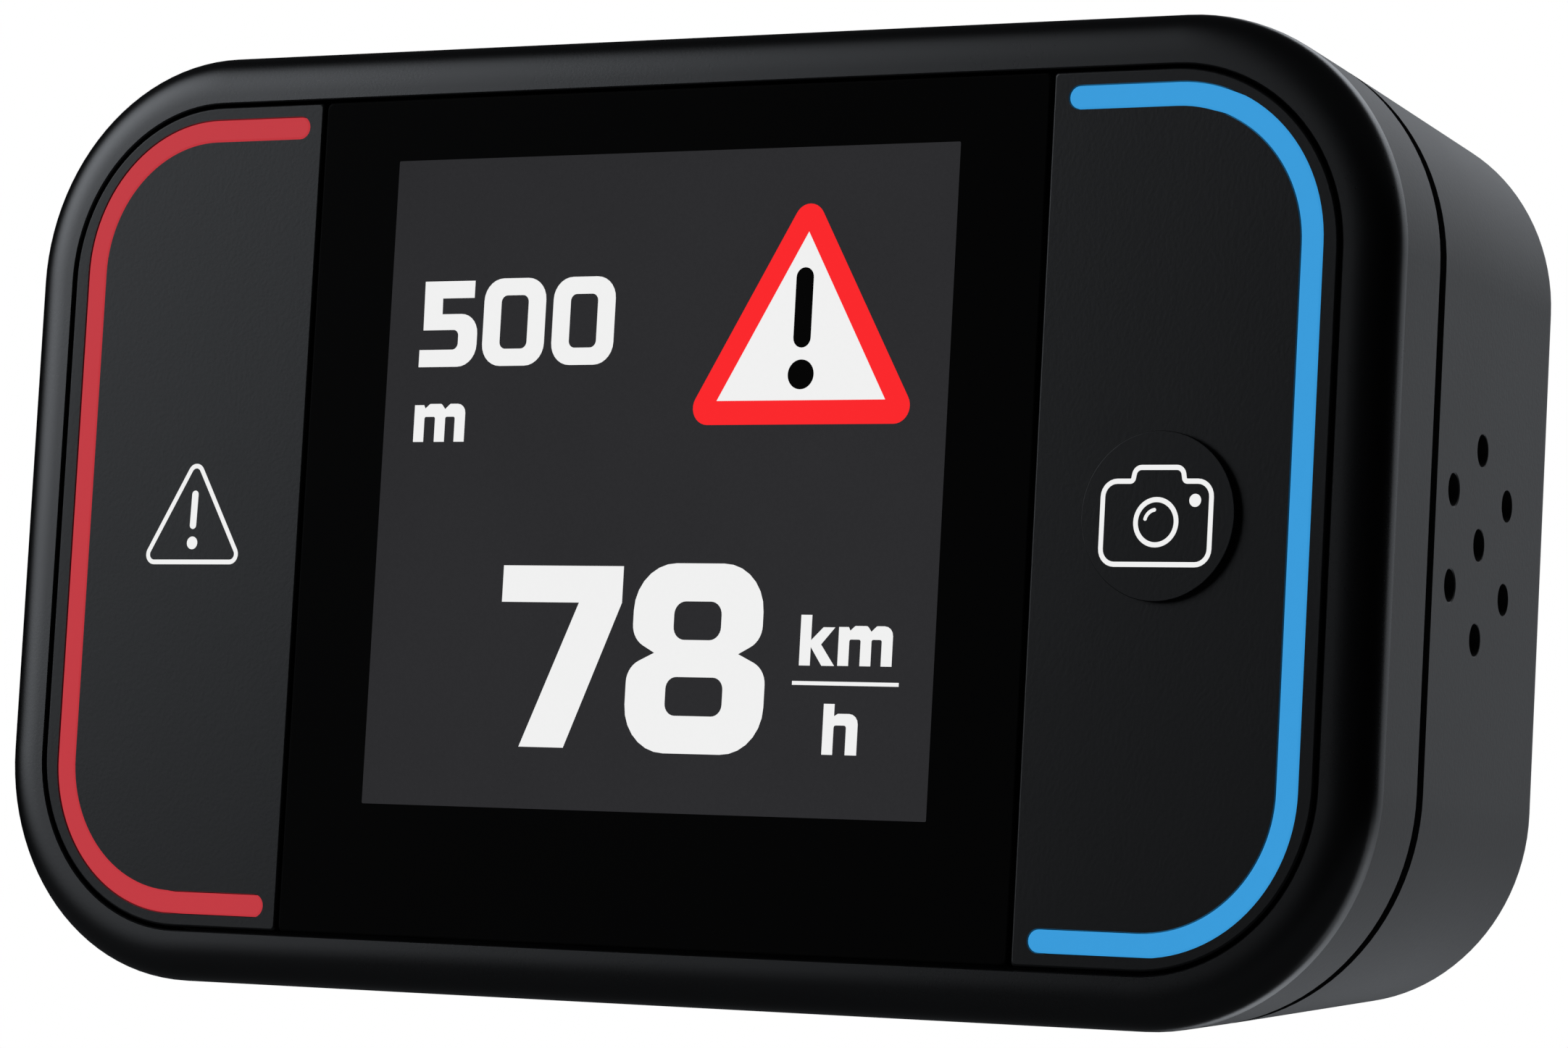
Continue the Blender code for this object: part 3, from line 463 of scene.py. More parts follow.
def new_group(name):
    """Size is the size of the pattern, and Patches the scale of the slow changes across it."""
    tree = bpy.data.node_groups.new(name, "ShaderNodeTree")
    for label, way in (("Size", "INPUT"), ("Patches", "INPUT"), ("Height", "OUTPUT"), ("Mask", "OUTPUT")):
        tree.interface.new_socket(label, in_out=way, socket_type="NodeSocketFloat")
    start = tree.nodes.new("NodeGroupInput")
    end = tree.nodes.new("NodeGroupOutput")
    place = tree.nodes.new("ShaderNodeTexCoord").outputs["Object"]
    return tree, start, end, place


def math_node(tree, operation, first, second):
    node = tree.nodes.new("ShaderNodeMath")
    node.operation = operation
    for socket, value in zip(node.inputs, (first, second)):
        if isinstance(value, (int, float)):
            socket.default_value = value
        else:
            tree.links.new(value, socket)
    return node.outputs["Value"]


def total(tree, first, *others):
    for other in others:
        first = math_node(tree, "ADD", first, other)
    return first


def product(tree, first, *others):
    for other in others:
        first = math_node(tree, "MULTIPLY", first, other)
    return first


def texture(tree, kind, place, scale, **settings):
    """A texture node whose scale is a socket or a number. A stretch gives a different scale for each axis."""
    node = tree.nodes.new(kind)
    stretch = settings.pop("stretch", None)
    inputs = settings.pop("inputs", {})
    if stretch:
        mapping = tree.nodes.new("ShaderNodeMapping")
        mapping.inputs["Scale"].default_value = stretch
        tree.links.new(place, mapping.inputs["Vector"])
        place = mapping.outputs["Vector"]
    tree.links.new(place, node.inputs["Vector"])
    if isinstance(scale, (int, float)):
        node.inputs["Scale"].default_value = scale
    else:
        tree.links.new(scale, node.inputs["Scale"])
    for label, value in settings.items():
        setattr(node, label, value)
    for label, value in inputs.items():
        node.inputs[label].default_value = value
    return node.outputs[0]


def frequency(tree, start):
    """One over the Size input."""
    return math_node(tree, "DIVIDE", 1.0, start.outputs["Size"])


def finish_group(tree, end, height, mask):
    tree.links.new(height, end.inputs["Height"])
    tree.links.new(mask, end.inputs["Mask"])
    return tree


def moulded_grain():
    """The fine spark-eroded texture of moulded plastic, with slow patches of handling."""
    tree, start, end, place = new_group("moulded_grain")
    scale = frequency(tree, start)
    fine = texture(tree, "ShaderNodeTexNoise", place, scale, inputs={"Detail": 2.0, "Roughness": 0.6})
    pits = texture(tree, "ShaderNodeTexVoronoi", place, scale, feature="SMOOTH_F1")
    height = total(tree, fine, product(tree, pits, 0.6))
    slow = texture(tree, "ShaderNodeTexNoise", place, start.outputs["Patches"], inputs={"Detail": 3.0})
    mask = total(tree, product(tree, fine, 0.5), product(tree, slow, 0.5))
    return finish_group(tree, end, height, mask)


def woven_cloth():
    """Two sets of threads that cross."""
    tree, start, end, place = new_group("woven_cloth")
    scale = frequency(tree, start)
    threads = [
        texture(tree, "ShaderNodeTexWave", place, scale, bands_direction=axis, wave_profile="SIN")
        for axis in ("Y", "Z")
    ]
    height = math_node(tree, "MAXIMUM", *threads)
    slow = texture(tree, "ShaderNodeTexNoise", place, start.outputs["Patches"])
    return finish_group(tree, end, height, product(tree, height, slow))


def drawn_lines():
    """Fine parallel lines, as on rolled or brushed sheet."""
    tree, start, end, place = new_group("drawn_lines")
    along_x = {"stretch": (0.04, 1.0, 1.0), "inputs": {"Detail": 3.0}}
    lines = texture(tree, "ShaderNodeTexNoise", place, frequency(tree, start), **along_x)
    slow = texture(tree, "ShaderNodeTexNoise", place, start.outputs["Patches"])
    mask = total(tree, product(tree, lines, 0.6), product(tree, slow, 0.4))
    return finish_group(tree, end, lines, mask)


def closed_cells():
    """The skin of foam or fired clay: packed cells of uneven size."""
    tree, start, end, place = new_group("closed_cells")
    scale = frequency(tree, start)
    cells = texture(tree, "ShaderNodeTexVoronoi", place, scale, feature="F1")
    slow = texture(tree, "ShaderNodeTexNoise", place, start.outputs["Patches"])
    mask = total(tree, product(tree, cells, 0.5), product(tree, slow, 0.5))
    return finish_group(tree, end, math_node(tree, "SUBTRACT", 1.0, cells), mask)


def printed_tracks():
    """Conductors: straight runs of even pitch, broken up by pads."""
    tree, start, end, place = new_group("printed_tracks")
    scale = frequency(tree, start)
    runs = [
        texture(tree, "ShaderNodeTexWave", place, scale, bands_direction=axis, inputs={"Distortion": 0.0})
        for axis in ("X", "Z")
    ]
    chosen = texture(tree, "ShaderNodeTexVoronoi", place, start.outputs["Patches"], feature="F1")
    which = math_node(tree, "GREATER_THAN", chosen, 0.45)
    across_x = product(tree, runs[0], which)
    across_z = product(tree, runs[1], math_node(tree, "SUBTRACT", 1.0, which))
    copper = math_node(tree, "GREATER_THAN", total(tree, across_x, across_z), 0.72)
    return finish_group(tree, end, copper, copper)


PATTERNS = {
    "grain": moulded_grain,
    "weave": woven_cloth,
    "lines": drawn_lines,
    "cells": closed_cells,
    "tracks": printed_tracks,
}


def pattern_group(pattern):
    builder = PATTERNS[pattern]
    return bpy.data.node_groups.get(builder.__name__) or builder()


BRUSHED = {"pattern": "lines", "size": 0.08, "depth": 0.002}


def shades(base, spread):
    """A darker and a lighter shade of a colour."""
    return [(*(min(1.0, channel * factor) for channel in base), 1.0) for factor in (1 - spread, 1 + spread)]


def finish(
    name,
    base,
    roughness,
    pattern="grain",
    size=0.2,
    depth=0.01,
    spread=0.12,
    rough_spread=0.06,
    other=None,
    metallic=0.0,
    specular=0.5,
    glow=0.0,
):
    """A procedural material. The pattern's size and depth are in millimetres.

    The pattern's mask runs between two shades of the base, or from the base to the other colour, and shifts
    the roughness.
    """
    name = f"{name}_finish"
    material = bpy.data.materials.get(name)
    if material:
        return material
    material = bpy.data.materials.new(name)
    material.use_nodes = True
    tree = material.node_tree
    shader = tree.nodes["Principled BSDF"]
    group = tree.nodes.new("ShaderNodeGroup")
    group.node_tree = pattern_group(pattern)
    group.inputs["Size"].default_value = size * MM
    group.inputs["Patches"].default_value = 120.0
    tint = tree.nodes.new("ShaderNodeMix")
    tint.data_type = "RGBA"
    sockets = [socket for socket in tint.inputs if socket.type == "RGBA"]
    result = next(socket for socket in tint.outputs if socket.type == "RGBA")
    pair = [(*base, 1.0), (*other, 1.0)] if other else shades(base, spread)
    for socket, value in zip(sockets, pair):
        socket.default_value = value
    tree.links.new(group.outputs["Mask"], tint.inputs["Factor"])
    tree.links.new(result, shader.inputs["Base Color"])
    rough = tree.nodes.new("ShaderNodeMapRange")
    rough.inputs["To Min"].default_value = max(0.02, roughness - rough_spread)
    rough.inputs["To Max"].default_value = min(1.0, roughness + rough_spread)
    tree.links.new(group.outputs["Mask"], rough.inputs["Value"])
    tree.links.new(rough.outputs["Result"], shader.inputs["Roughness"])
    bump = tree.nodes.new("ShaderNodeBump")
    bump.inputs["Strength"].default_value = 1.0
    bump.inputs["Distance"].default_value = depth * MM
    tree.links.new(group.outputs["Height"], bump.inputs["Height"])
    tree.links.new(bump.outputs["Normal"], shader.inputs["Normal"])
    shader.inputs["Metallic"].default_value = metallic
    shader.inputs["Specular IOR Level"].default_value = specular
    if glow:
        tree.links.new(result, shader.inputs["Emission Color"])
        shader.inputs["Emission Strength"].default_value = glow
    return material


def darken_under_glow(material, base, share):
    """Leaves only a share of the colour to outside light, so that the glow sets what is seen."""
    tree = material.node_tree
    socket = tree.nodes["Principled BSDF"].inputs["Base Color"]
    for link in list(socket.links):
        tree.links.remove(link)
    socket.default_value = (*(share * channel for channel in base), 1.0)
    return material


def printed(name, base, spread=0.02):
    """A lit area of the screen, which glows, or ink on a button given a painted glow; either shows its own
    colour whatever the light.
    """
    material = finish(name, base, 0.6, size=0.12, depth=0.0, spread=spread, glow=1.0, specular=0.0)
    return darken_under_glow(material, base, 0.02)


def diffuser(name, base):
    """Milky plastic, lit from behind."""
    lit = {"glow": 0.93, "specular": 0.15}
    material = finish(name, base, 0.5, size=0.5, depth=0.001, spread=0.03, **lit)
    return darken_under_glow(material, base, 0.2)


def panel_finish(colours):
    return finish("panel_plastic", colours.panel, 0.33, size=0.16, depth=0.002, rough_spread=0.03)


def side_finish(colours):
    return finish("side_plastic", colours.side, 0.5, size=0.18, depth=0.005, spread=0.10, rough_spread=0.04)


def rim_finish(colours):
    return finish("rim_plastic", colours.rim, 0.28, size=0.12, depth=0.001, rough_spread=0.03, specular=0.8)


def rubber_finish():
    return finish("soft_rubber", screen_colour(28, 28, 28), 0.8, size=0.25, depth=0.01, specular=0.3)


# The shells and what lies between them


def rim_sections(body):
    """The soft rim, from its inner edge, flush with the panels, to where the side wall starts."""
    steps = 26
    power = 2 / body.rim_fullness
    edge = body.rim_break
    sections = [(body_outline(body, body.rim_width), edge)]
    for step in range(steps + 1):
        turn = math.radians(90 * (1 - step / steps))
        inset = (body.rim_width - edge) * (1 - math.cos(turn) ** power)
        sections.append((body_outline(body, inset), body.rim_end * (1 - math.sin(turn) ** power)))
    return sections


class ALARM_OT_bezel(bpy.types.Operator):
    """Makes the front shell: the soft rim, the side band, the lip and the ledge behind the panels"""

    bl_idname = "alarm.bezel"
    bl_label = "Bezel"

    def execute(self, context):
        body, colours = context.scene.alarm_body, context.scene.alarm_colours
        seam_front = SEAM_BACK - body.seam_width
        lip = taper(body, LIP_DEPTH) + body.rabbet + FIT_GAP
        ledge = body.rim_width + body.flange_reach
        rim = rim_sections(body)
        rest = [
            (taper(body, seam_front), seam_front),
            (lip, seam_front),
            (lip, LIP_DEPTH),
            (body.rim_width, LIP_DEPTH),
            (body.rim_width, body.flange_back),
            (ledge, body.flange_back),
            (ledge, body.flange_front),
            (body.rim_width, body.flange_front),
        ]
        sections = rim + [(body_outline(body, inset), depth) for inset, depth in rest]
        slots = [0] * (len(rim) - 1) + [1] * len(rest) + [0]
        materials = [rim_finish(colours), side_finish(colours)]
        shell = loft("bezel_shell", sections, materials, ring=True, slots=slots)
        belongs(shell, "housing", "shell_plastic", "front_bezel")
        return {"FINISHED"}


class ALARM_OT_seam(bpy.types.Operator):
    """Makes a dark rubber ring in the groove between the shells, a painted shadow standing in for the
    groove's shade
    """

    bl_idname = "alarm.seam"
    bl_label = "Seam ring"

    def execute(self, context):
        body = context.scene.alarm_body
        outer = HALF_WIDTH - GASKET_HIGH.x
        inner = taper(body, LIP_DEPTH) + body.rabbet + FIT_GAP / 2
        front, back = GASKET_LOW.y - FRONT, GASKET_HIGH.y - FRONT
        soft = FIT_GAP
        profile = [
            (inner, front),
            (outer + soft, front),
            (outer, front + soft),
            (outer, back - soft),
            (outer + soft, back),
            (inner, back),
        ]
        sections = [(body_outline(body, inset), depth) for inset, depth in profile]
        # The dark ring stands in for the shade in the groove: a painted shadow
        ring = loft("seam_ring", sections, [rubber_finish()], ring=True)
        belongs(ring, "housing", "black_rubber", "seam_gasket")
        return {"FINISHED"}


def wall_frame(body, depth):
    """A frame on the right wall's outer face: +Z out through the wall and +Y up."""
    angle = math.atan(body.draft)
    outward = Vector((math.cos(angle), math.sin(angle), 0.0))
    face = Vector((HALF_WIDTH - taper(body, depth), to_y(depth), 0.0))
    up = Vector((0.0, 0.0, 1.0))
    turn = Matrix((up.cross(outward), up, outward)).transposed().to_4x4()
    return Matrix.Translation(face) @ turn


def turned_mould(name, profile, steps=ROUND_STEPS):
    """A solid turned from (radius, height) steps, standing along its own Z."""
    bm = bmesh.new()
    skin(bm, [[(x, y, height) for x, y in circle(0.0, 0.0, radius, steps)] for radius, height in profile])
    return new_object(name, bm)


def speaker_depth(body):
    """Depth of the speaker's centre, where its mesh lies under the wall."""
    return (SPEAKER_LOW.y + SPEAKER_HIGH.y) / 2 - FRONT + body.draft * body.wall


def sound_hole_cutters(body):
    """Seven drills through the right wall, each with a countersink that breaks the hole's edge."""
    radius, edge = body.hole_radius, body.hole_edge
    profile = [
        (radius, -body.wall - OVERCUT),
        (radius, -edge),
        (radius + edge, 0.0),
        (radius + edge, OVERCUT),
    ]
    drill = turned_mould("drill", profile, steps=32)
    wall = wall_frame(body, speaker_depth(body))
    drill.data.transform(wall.to_3x3().to_4x4())
    ring = [math.radians(90 + 60 * i) for i in range(6)]
    places = [Vector((0.0, 0.0, 0.0))]
    places += [Vector((math.cos(turn), math.sin(turn), 0.0)) * body.hole_ring for turn in ring]
    return copies("sound_holes", [wall @ place for place in places], drill)


def socket_cutter():
    """The mouth in the left wall that the charging plug goes through."""
    bm = bmesh.new()
    gap = 2 * FIT_GAP
    half_z = SOCKET_HIGH.z + gap
    half_y = (SOCKET_HIGH.y - SOCKET_LOW.y) / 2 + gap
    middle = (SOCKET_HIGH.y + SOCKET_LOW.y) / 2
    outline = rounded_rectangle(half_y, half_z, half_y, 12)
    ends = (-HALF_WIDTH - OVERCUT, SOCKET_LOW.x + 4 * OVERCUT)
    skin(bm, [[(x, middle + y, z) for y, z in outline] for x in ends])
    return new_object("socket_mouth", bm)


def screw_places():
    x, z = POST_PLACE
    return [(side_x * x, FRONT, side_z * z) for side_x in (-1, 1) for side_z in (-1, 1)]


def along_y(mould):
    """Turns a mould that stands along Z so that it points back along Y."""
    mould.data.transform(Matrix.Rotation(math.radians(-90), 4, "X"))
    return mould


class ALARM_OT_rear_cover(bpy.types.Operator):
    """Makes the tapered rear shell with its sound holes, charging mouth, screw wells and pad recess"""

    bl_idname = "alarm.rear_cover"
    bl_label = "Rear cover"

    def execute(self, context):
        body, colours = context.scene.alarm_body, context.scene.alarm_colours
        inner_back = BACK_DEPTH - body.wall
        rabbet_end = LIP_DEPTH + FIT_GAP
        profile = [
            (taper(body, inner_back) + body.wall, inner_back),
            (taper(body, rabbet_end) + body.wall, rabbet_end),
            (taper(body, rabbet_end) + body.rabbet, rabbet_end),
            (taper(body, SEAM_BACK) + body.rabbet, SEAM_BACK),
            (taper(body, SEAM_BACK), SEAM_BACK),
        ]
        edge_steps = 8
        for step in range(edge_steps + 1):
            turn = math.radians(90 * step / edge_steps)
            inset = taper(body, BACK_DEPTH) + body.rear_edge * (1 - math.cos(turn))
            profile.append((inset, BACK_DEPTH - body.rear_edge * (1 - math.sin(turn))))
        sections = [(body_outline(body, inset), depth) for inset, depth in profile]
        cover = loft("rear_cover", sections, [side_finish(colours)])
        well_radius = (SCREW_HIGH.x - SCREW_LOW.x) / 2 + 2 * FIT_GAP
        seat = SCREW_HIGH.y - FRONT - SCREW_HEAD_HEIGHT - FIT_GAP
        post_front = seat - POST_LENGTH
        added = [self.at_screws("post", POST_RADIUS, post_front, BACK_DEPTH - body.wall / 2)]
        cutters = [
            self.at_screws("well", well_radius, seat, BACK_DEPTH + OVERCUT),
            self.at_screws("shaft", POST_HOLE_RADIUS, post_front - OVERCUT, BACK_DEPTH),
        ]
        pocket = MAGNET_LOW.y - FRONT - FIT_GAP / 2
        pocket_outline = circle(0, 0, MAGNET_HIGH.x + FIT_GAP)
        boss_outline = circle(0, 0, MAGNET_HIGH.x + MAGNET_BOSS_WALL)
        added.append(prism("boss", boss_outline, pocket - MAGNET_BOSS_FLOOR, inner_back + body.wall / 4))
        cutters.append(prism("magnet_pocket", pocket_outline, pocket, BACK_DEPTH))
        recess = rounded_rectangle(PAD_HIGH.x + FIT_GAP, PAD_HIGH.z + FIT_GAP, PAD_CORNER + FIT_GAP)
        pad_floor = PAD_LOW.y - FRONT - FIT_GAP / 2
        cutters.append(prism("pad_recess", recess, pad_floor, BACK_DEPTH + OVERCUT))
        cutters += [sound_hole_cutters(body), socket_cutter()]
        carve(cover, cutters, added)
        belongs(cover, "housing", "rear_plastic", "rear_shell")
        return {"FINISHED"}

    def at_screws(self, name, radius, front, back):
        """A round bar at each screw."""
        return copies(name, screw_places(), along_y(turned_mould(name, [(radius, front), (radius, back)])))


def pad_outline(inset):
    return rounded_rectangle(PAD_HIGH.x - inset, PAD_HIGH.z - inset, PAD_CORNER - inset)


class ALARM_OT_rear_fittings(bpy.types.Operator):
    """Makes the dimpled rubber pad and the four cross-slotted screws on the back"""

    bl_idname = "alarm.rear_fittings"
    bl_label = "Pad and screws"

    def execute(self, context):
        dot_height, dot_radius, pitch = 0.1 * MM, 0.55 * MM, 2.0 * MM
        front, back = PAD_LOW.y - FRONT, PAD_HIGH.y - FRONT
        soft = 0.12 * MM
        face = back - dot_height
        profile = [(0.0, front), (0.0, face - soft), (soft * 0.3, face - soft * 0.3), (soft, face)]
        sections = [(pad_outline(inset), depth) for inset, depth in profile]
        pad = loft("pad_skin", sections, [rubber_finish()])
        belongs(pad, "housing", "black_rubber", "rear_pad")
        columns, rows = round(PAD_HIGH.x / pitch) - 1, round(PAD_HIGH.z / pitch) - 1
        places = []
        for column in range(-columns, columns + 1):
            for row in range(-rows, rows + 1):
                near_corner = abs(column) == columns and abs(row) == rows
                if not near_corner:
                    places.append((column * pitch, to_y(face), row * pitch))
        dome = [
            (dot_radius, -dot_height),
            (dot_radius, 0.0),
            (dot_radius * 0.8, dot_height * 0.7),
            (dot_radius * 0.45, dot_height),
        ]
        mould = along_y(turned_mould("dot", dome, steps=12))
        dots = copies("pad_dots", places, mould, rubber_finish())
        belongs(dots, "housing", "black_rubber")
        self.make_screws()
        return {"FINISHED"}

    def make_screws(self):
        steel = finish("blackened_steel", (0.12, 0.12, 0.125), 0.34, metallic=1.0, **BRUSHED)
        tip, top = SCREW_LOW.y - FRONT, SCREW_HIGH.y - FRONT
        head = (SCREW_HIGH.x - SCREW_LOW.x) / 2
        shank, tip_radius, soft = 1.0 * MM, 0.4 * MM, 0.25 * MM
        root = shank * 0.82
        turns, pitch = 12, 0.6 * MM
        profile = [(tip_radius, tip), (shank * 0.8, tip + shank)]
        for turn in range(turns):
            start = tip + shank + turn * pitch
            profile += [(shank, start), (root, start + pitch / 2)]
        profile += [
            (root, top - SCREW_HEAD_HEIGHT),
            (head, top - SCREW_HEAD_HEIGHT),
            (head, top - soft),
            (head - soft * 0.4, top - soft * 0.4),
            (head - soft, top),
        ]
        mould = along_y(turned_mould("screw", profile, steps=32))
        arm, half, slot_depth = 1.05 * MM, 0.28 * MM, 0.7 * MM
        slots = []
        for reach_x, reach_z in ((arm, half), (half, arm)):
            slot = turned_mould("slot", [(1.0, top - slot_depth), (1.0, top + OVERCUT)], steps=4)
            slot.data.transform(Matrix.Rotation(math.radians(45), 4, "Z"))
            slot.data.transform(Matrix.Diagonal((reach_x * math.sqrt(2), reach_z * math.sqrt(2), 1.0, 1.0)))
            slots.append(along_y(slot))
        carve(mould, slots)
        screws = copies("rear_screws", screw_places(), mould, steel)
        corners = [f"screw_{row}_{column}" for row in ("top", "bottom") for column in ("left", "right")]
        belongs(screws, "housing", "screw_steel", *corners)


# The front


def glass_outline(inset):
    corner = 0.25 * MM
    return rounded_rectangle(GLASS_HIGH.x - inset, GLASS_HIGH.z - inset, corner, 5)


class ALARM_OT_cover_glass(bpy.types.Operator):
    """Makes the black cover glass with its polished edge"""

    bl_idname = "alarm.cover_glass"
    bl_label = "Cover glass"

    def execute(self, context):
        front, colours = context.scene.alarm_front, context.scene.alarm_colours
        waves = {"size": 6.0, "depth": 0.0004, "spread": 0.05, "rough_spread": 0.02}
        glass = finish("cover_glass", colours.glass, 0.08, specular=0.01, **waves)
        sections = edge_sections(glass_outline, 0.0, front.panel_edge)
        sections.append((glass_outline(0.0), GLASS_HIGH.y - FRONT))
        belongs(loft("cover_glass", sections, [glass]), "housing", "black_glass", "display_glass")
        return {"FINISHED"}


def in_box(unit_shape, low_x, high_x, low_z, high_z):
    """A shape drawn in a unit square, (x, z, radius), placed in a box given in millimetres."""
    width, height = high_x - low_x, high_z - low_z
    placed = [(low_x + x * width, low_z + z * height, radius) for x, z, radius in unit_shape]
    return [(x * MM, z * MM, radius * MM) for x, z, radius in placed]


def box_outline(low_x, high_x, low_z, high_z, radius=0.0):
    corners = [(0, 0, radius), (1, 0, radius), (1, 1, radius), (0, 1, radius)]
    return filleted(in_box(corners, low_x, high_x, low_z, high_z))


def figure_nought(low_x, high_x, low_z, high_z):
    side, bar = 0.28 * (high_x - low_x), 0.195 * (high_z - low_z)
    outer = box_outline(low_x, high_x, low_z, high_z, 0.95)
    inner = box_outline(low_x + side, high_x - side, low_z + bar, high_z - bar, 0.3)
    return [outer, inner]


def figure_five(low_x, high_x, low_z, high_z):
    shape = [
        (0.04, 1.0, 0), (0.92, 1.0, 0), (0.92, 0.80, 0), (0.365, 0.80, 0), (0.37, 0.615, 0),
        (1.0, 0.615, 0.85), (1.0, 0.0, 0.95), (0.0, 0.0, 0), (0.0, 0.20, 0), (0.67, 0.20, 0.28),
        (0.67, 0.43, 0.25), (0.05, 0.43, 0),
    ]
    return [filleted(in_box(shape, low_x, high_x, low_z, high_z))]


def figure_seven(low_x, high_x, low_z, high_z):
    shape = [
        (0.0, 1.0, 0), (1.0, 1.0, 0), (1.0, 0.80, 0), (0.578, 0.0, 0), (0.208, 0.0, 0),
        (0.645, 0.798, 0), (0.0, 0.798, 0),
    ]
    return [filleted(in_box(shape, low_x, high_x, low_z, high_z))]


def figure_eight(low_x, high_x, low_z, high_z):
    shape = [
        (0.03, 1.0, 2.0), (0.965, 1.0, 2.0), (0.965, 0.60, 1.0), (0.80, 0.527, 0), (1.0, 0.45, 1.0),
        (1.0, 0.0, 2.0), (0.0, 0.0, 2.0), (0.0, 0.45, 1.0), (0.195, 0.527, 0), (0.03, 0.60, 1.0),
    ]
    width, height = high_x - low_x, high_z - low_z

    def hole(left, right, bottom, top, radius):
        sides = low_x + left * width, low_x + right * width
        return box_outline(*sides, low_z + bottom * height, low_z + top * height, radius)

    upper = hole(0.325, 0.668, 0.597, 0.8, 0.55)
    lower = hole(0.29, 0.702, 0.198, 0.402, 0.5)
    return [filleted(in_box(shape, low_x, high_x, low_z, high_z)), upper, lower]


def letter_m(low_x, high_x, low_z, high_z):
    shape = [
        (0.0, 0.0, 0), (0.0, 0.97, 0), (0.18, 0.97, 0), (0.21, 0.88, 0), (0.30, 1.0, 0.12),
        (0.53, 1.0, 0.15), (0.60, 0.86, 0), (0.70, 1.0, 0.12), (1.0, 1.0, 0.4), (1.0, 0.0, 0),
        (0.80, 0.0, 0), (0.80, 0.66, 0.08), (0.61, 0.66, 0.08), (0.61, 0.0, 0), (0.41, 0.0, 0),
        (0.41, 0.66, 0.08), (0.20, 0.66, 0.08), (0.20, 0.0, 0),
    ]
    return [filleted(in_box(shape, low_x, high_x, low_z, high_z), 4)]


def letter_k(low_x, high_x, low_z, high_z):
    shape = [
        (0.0, 0.0, 0), (0.0, 1.0, 0), (0.31, 1.0, 0), (0.31, 0.50, 0), (0.65, 0.76, 0),
        (0.98, 0.76, 0), (0.60, 0.42, 0), (1.0, 0.0, 0), (0.64, 0.0, 0), (0.31, 0.37, 0),
        (0.31, 0.0, 0),
    ]
    return [filleted(in_box(shape, low_x, high_x, low_z, high_z))]


def letter_h(low_x, high_x, low_z, high_z):
    shape = [
        (0.0, 0.0, 0), (0.0, 1.0, 0), (0.31, 1.0, 0), (0.31, 0.76, 0), (0.42, 0.81, 0.08),
        (1.0, 0.81, 0.42), (1.0, 0.0, 0), (0.67, 0.0, 0), (0.67, 0.58, 0.1), (0.31, 0.58, 0.1),
        (0.31, 0.0, 0),
    ]
    return [filleted(in_box(shape, low_x, high_x, low_z, high_z), 4)]


class ALARM_OT_picture(bpy.types.Operator):
    """Makes the lit picture: its grey field, a distance, a speed and a plain warning triangle"""

    bl_idname = "alarm.picture"
    bl_label = "Lit picture"

    def execute(self, context):
        front, colours = context.scene.alarm_front, context.scene.alarm_colours
        middle, half = front.screen_raise, front.screen / 2
        field = rounded_rectangle(half, half, 0.06 * MM, 3, (0.0, middle))
        self.layer("picture_field", [field], 1, printed("lit_field", colours.screen, spread=0.16))
        figures = figure_five(-12.24, -9.32, 6.36, 10.05)
        figures += figure_nought(-9.03, -5.89, 6.37, 10.12) + figure_nought(-5.51, -2.40, 6.37, 10.12)
        figures += letter_m(-12.30, -9.69, 3.14, 4.77)
        figures += figure_seven(-7.25, -1.24, -9.78, -2.13) + figure_eight(-0.83, 5.92, -9.90, -1.99)
        figures += letter_k(7.51, 9.18, -6.15, -4.07) + letter_m(9.33, 11.88, -6.14, -4.50)
        figures += [box_outline(7.23, 12.26, -6.95, -6.79)]
        figures += letter_h(8.80, 10.44, -9.78, -7.70)
        white = printed("lit_white", colours.figures)
        self.layer("picture_figures", figures, 2, white)
        centres = [(2.45 * MM, 4.51 * MM), (11.37 * MM, 4.51 * MM), (6.90 * MM, 12.22 * MM)]
        border = rounded_hull(centres, 0.73 * MM)
        self.layer("sign_border", [border], 2, printed("lit_red", colours.sign))
        inside = [(2.86 * MM, 4.78 * MM), (10.93 * MM, 4.78 * MM), (6.90 * MM, 11.78 * MM)]
        self.layer("sign_field", [inside], 3, white)
        x = 6.83 * MM
        bar = open_stroke([(x, 9.885 * MM), (x, 7.375 * MM)], 0.83 * MM)
        mark = [bar, circle(x + 0.03 * MM, 5.85 * MM, 0.62 * MM)]
        self.layer("sign_mark", mark, 4, printed("lit_black", screen_colour(6, 6, 6)))
        return {"FINISHED"}

    def layer(self, name, outlines, level, material):
        """A thin layer of the picture; a higher level lies in front of a lower one."""
        back = -(level - 1) * PRINT - PRINT / 8
        piece = plate(name, outlines, back - PRINT, back, material)
        belongs(piece, "housing", "black_glass")


def guide_path(front, side):
    """Centre line of a light: outwards near the glass, round two corners and back."""
    half = front.guide_width / 2
    far_x, far_z = GUIDE_HIGH.x - half, GUIDE_HIGH.z - half
    end_x = GUIDE_LOW.x + half
    radius, steps = front.guide_radius, 28
    points = [(end_x, -far_z)]
    points += arc(far_x - radius, radius - far_z, radius, -90, 0, steps)
    points += arc(far_x - radius, far_z - radius, radius, 0, 90, steps)
    points.append((end_x, far_z))
    return [(side * x, z) for x, z in points]


def light_outline(front, side, inset):
    return open_stroke(guide_path(front, side), front.guide_width - 2 * inset)


def panel_outline(body, side, inset):
    """A panel that fills one end of the opening."""
    corner = body.corner - body.rim_width - BUTTON_GAP - inset
    inner = BUTTON_INNER + inset
    x, z = BUTTON_SIDE - inset - corner, BUTTON_TOP - inset - corner
    small = 0.15 * MM
    top = BUTTON_TOP - inset
    points = arc(inner + small, small - top, small, 180, 270, 4)
    points += arc(x, -z, corner, -90, 0, CORNER_STEPS)
    points += arc(x, z, corner, 0, 90, CORNER_STEPS)
    points += arc(inner + small, top - small, small, 90, 180, 4)
    return [(side * x, z) for x, z in points]


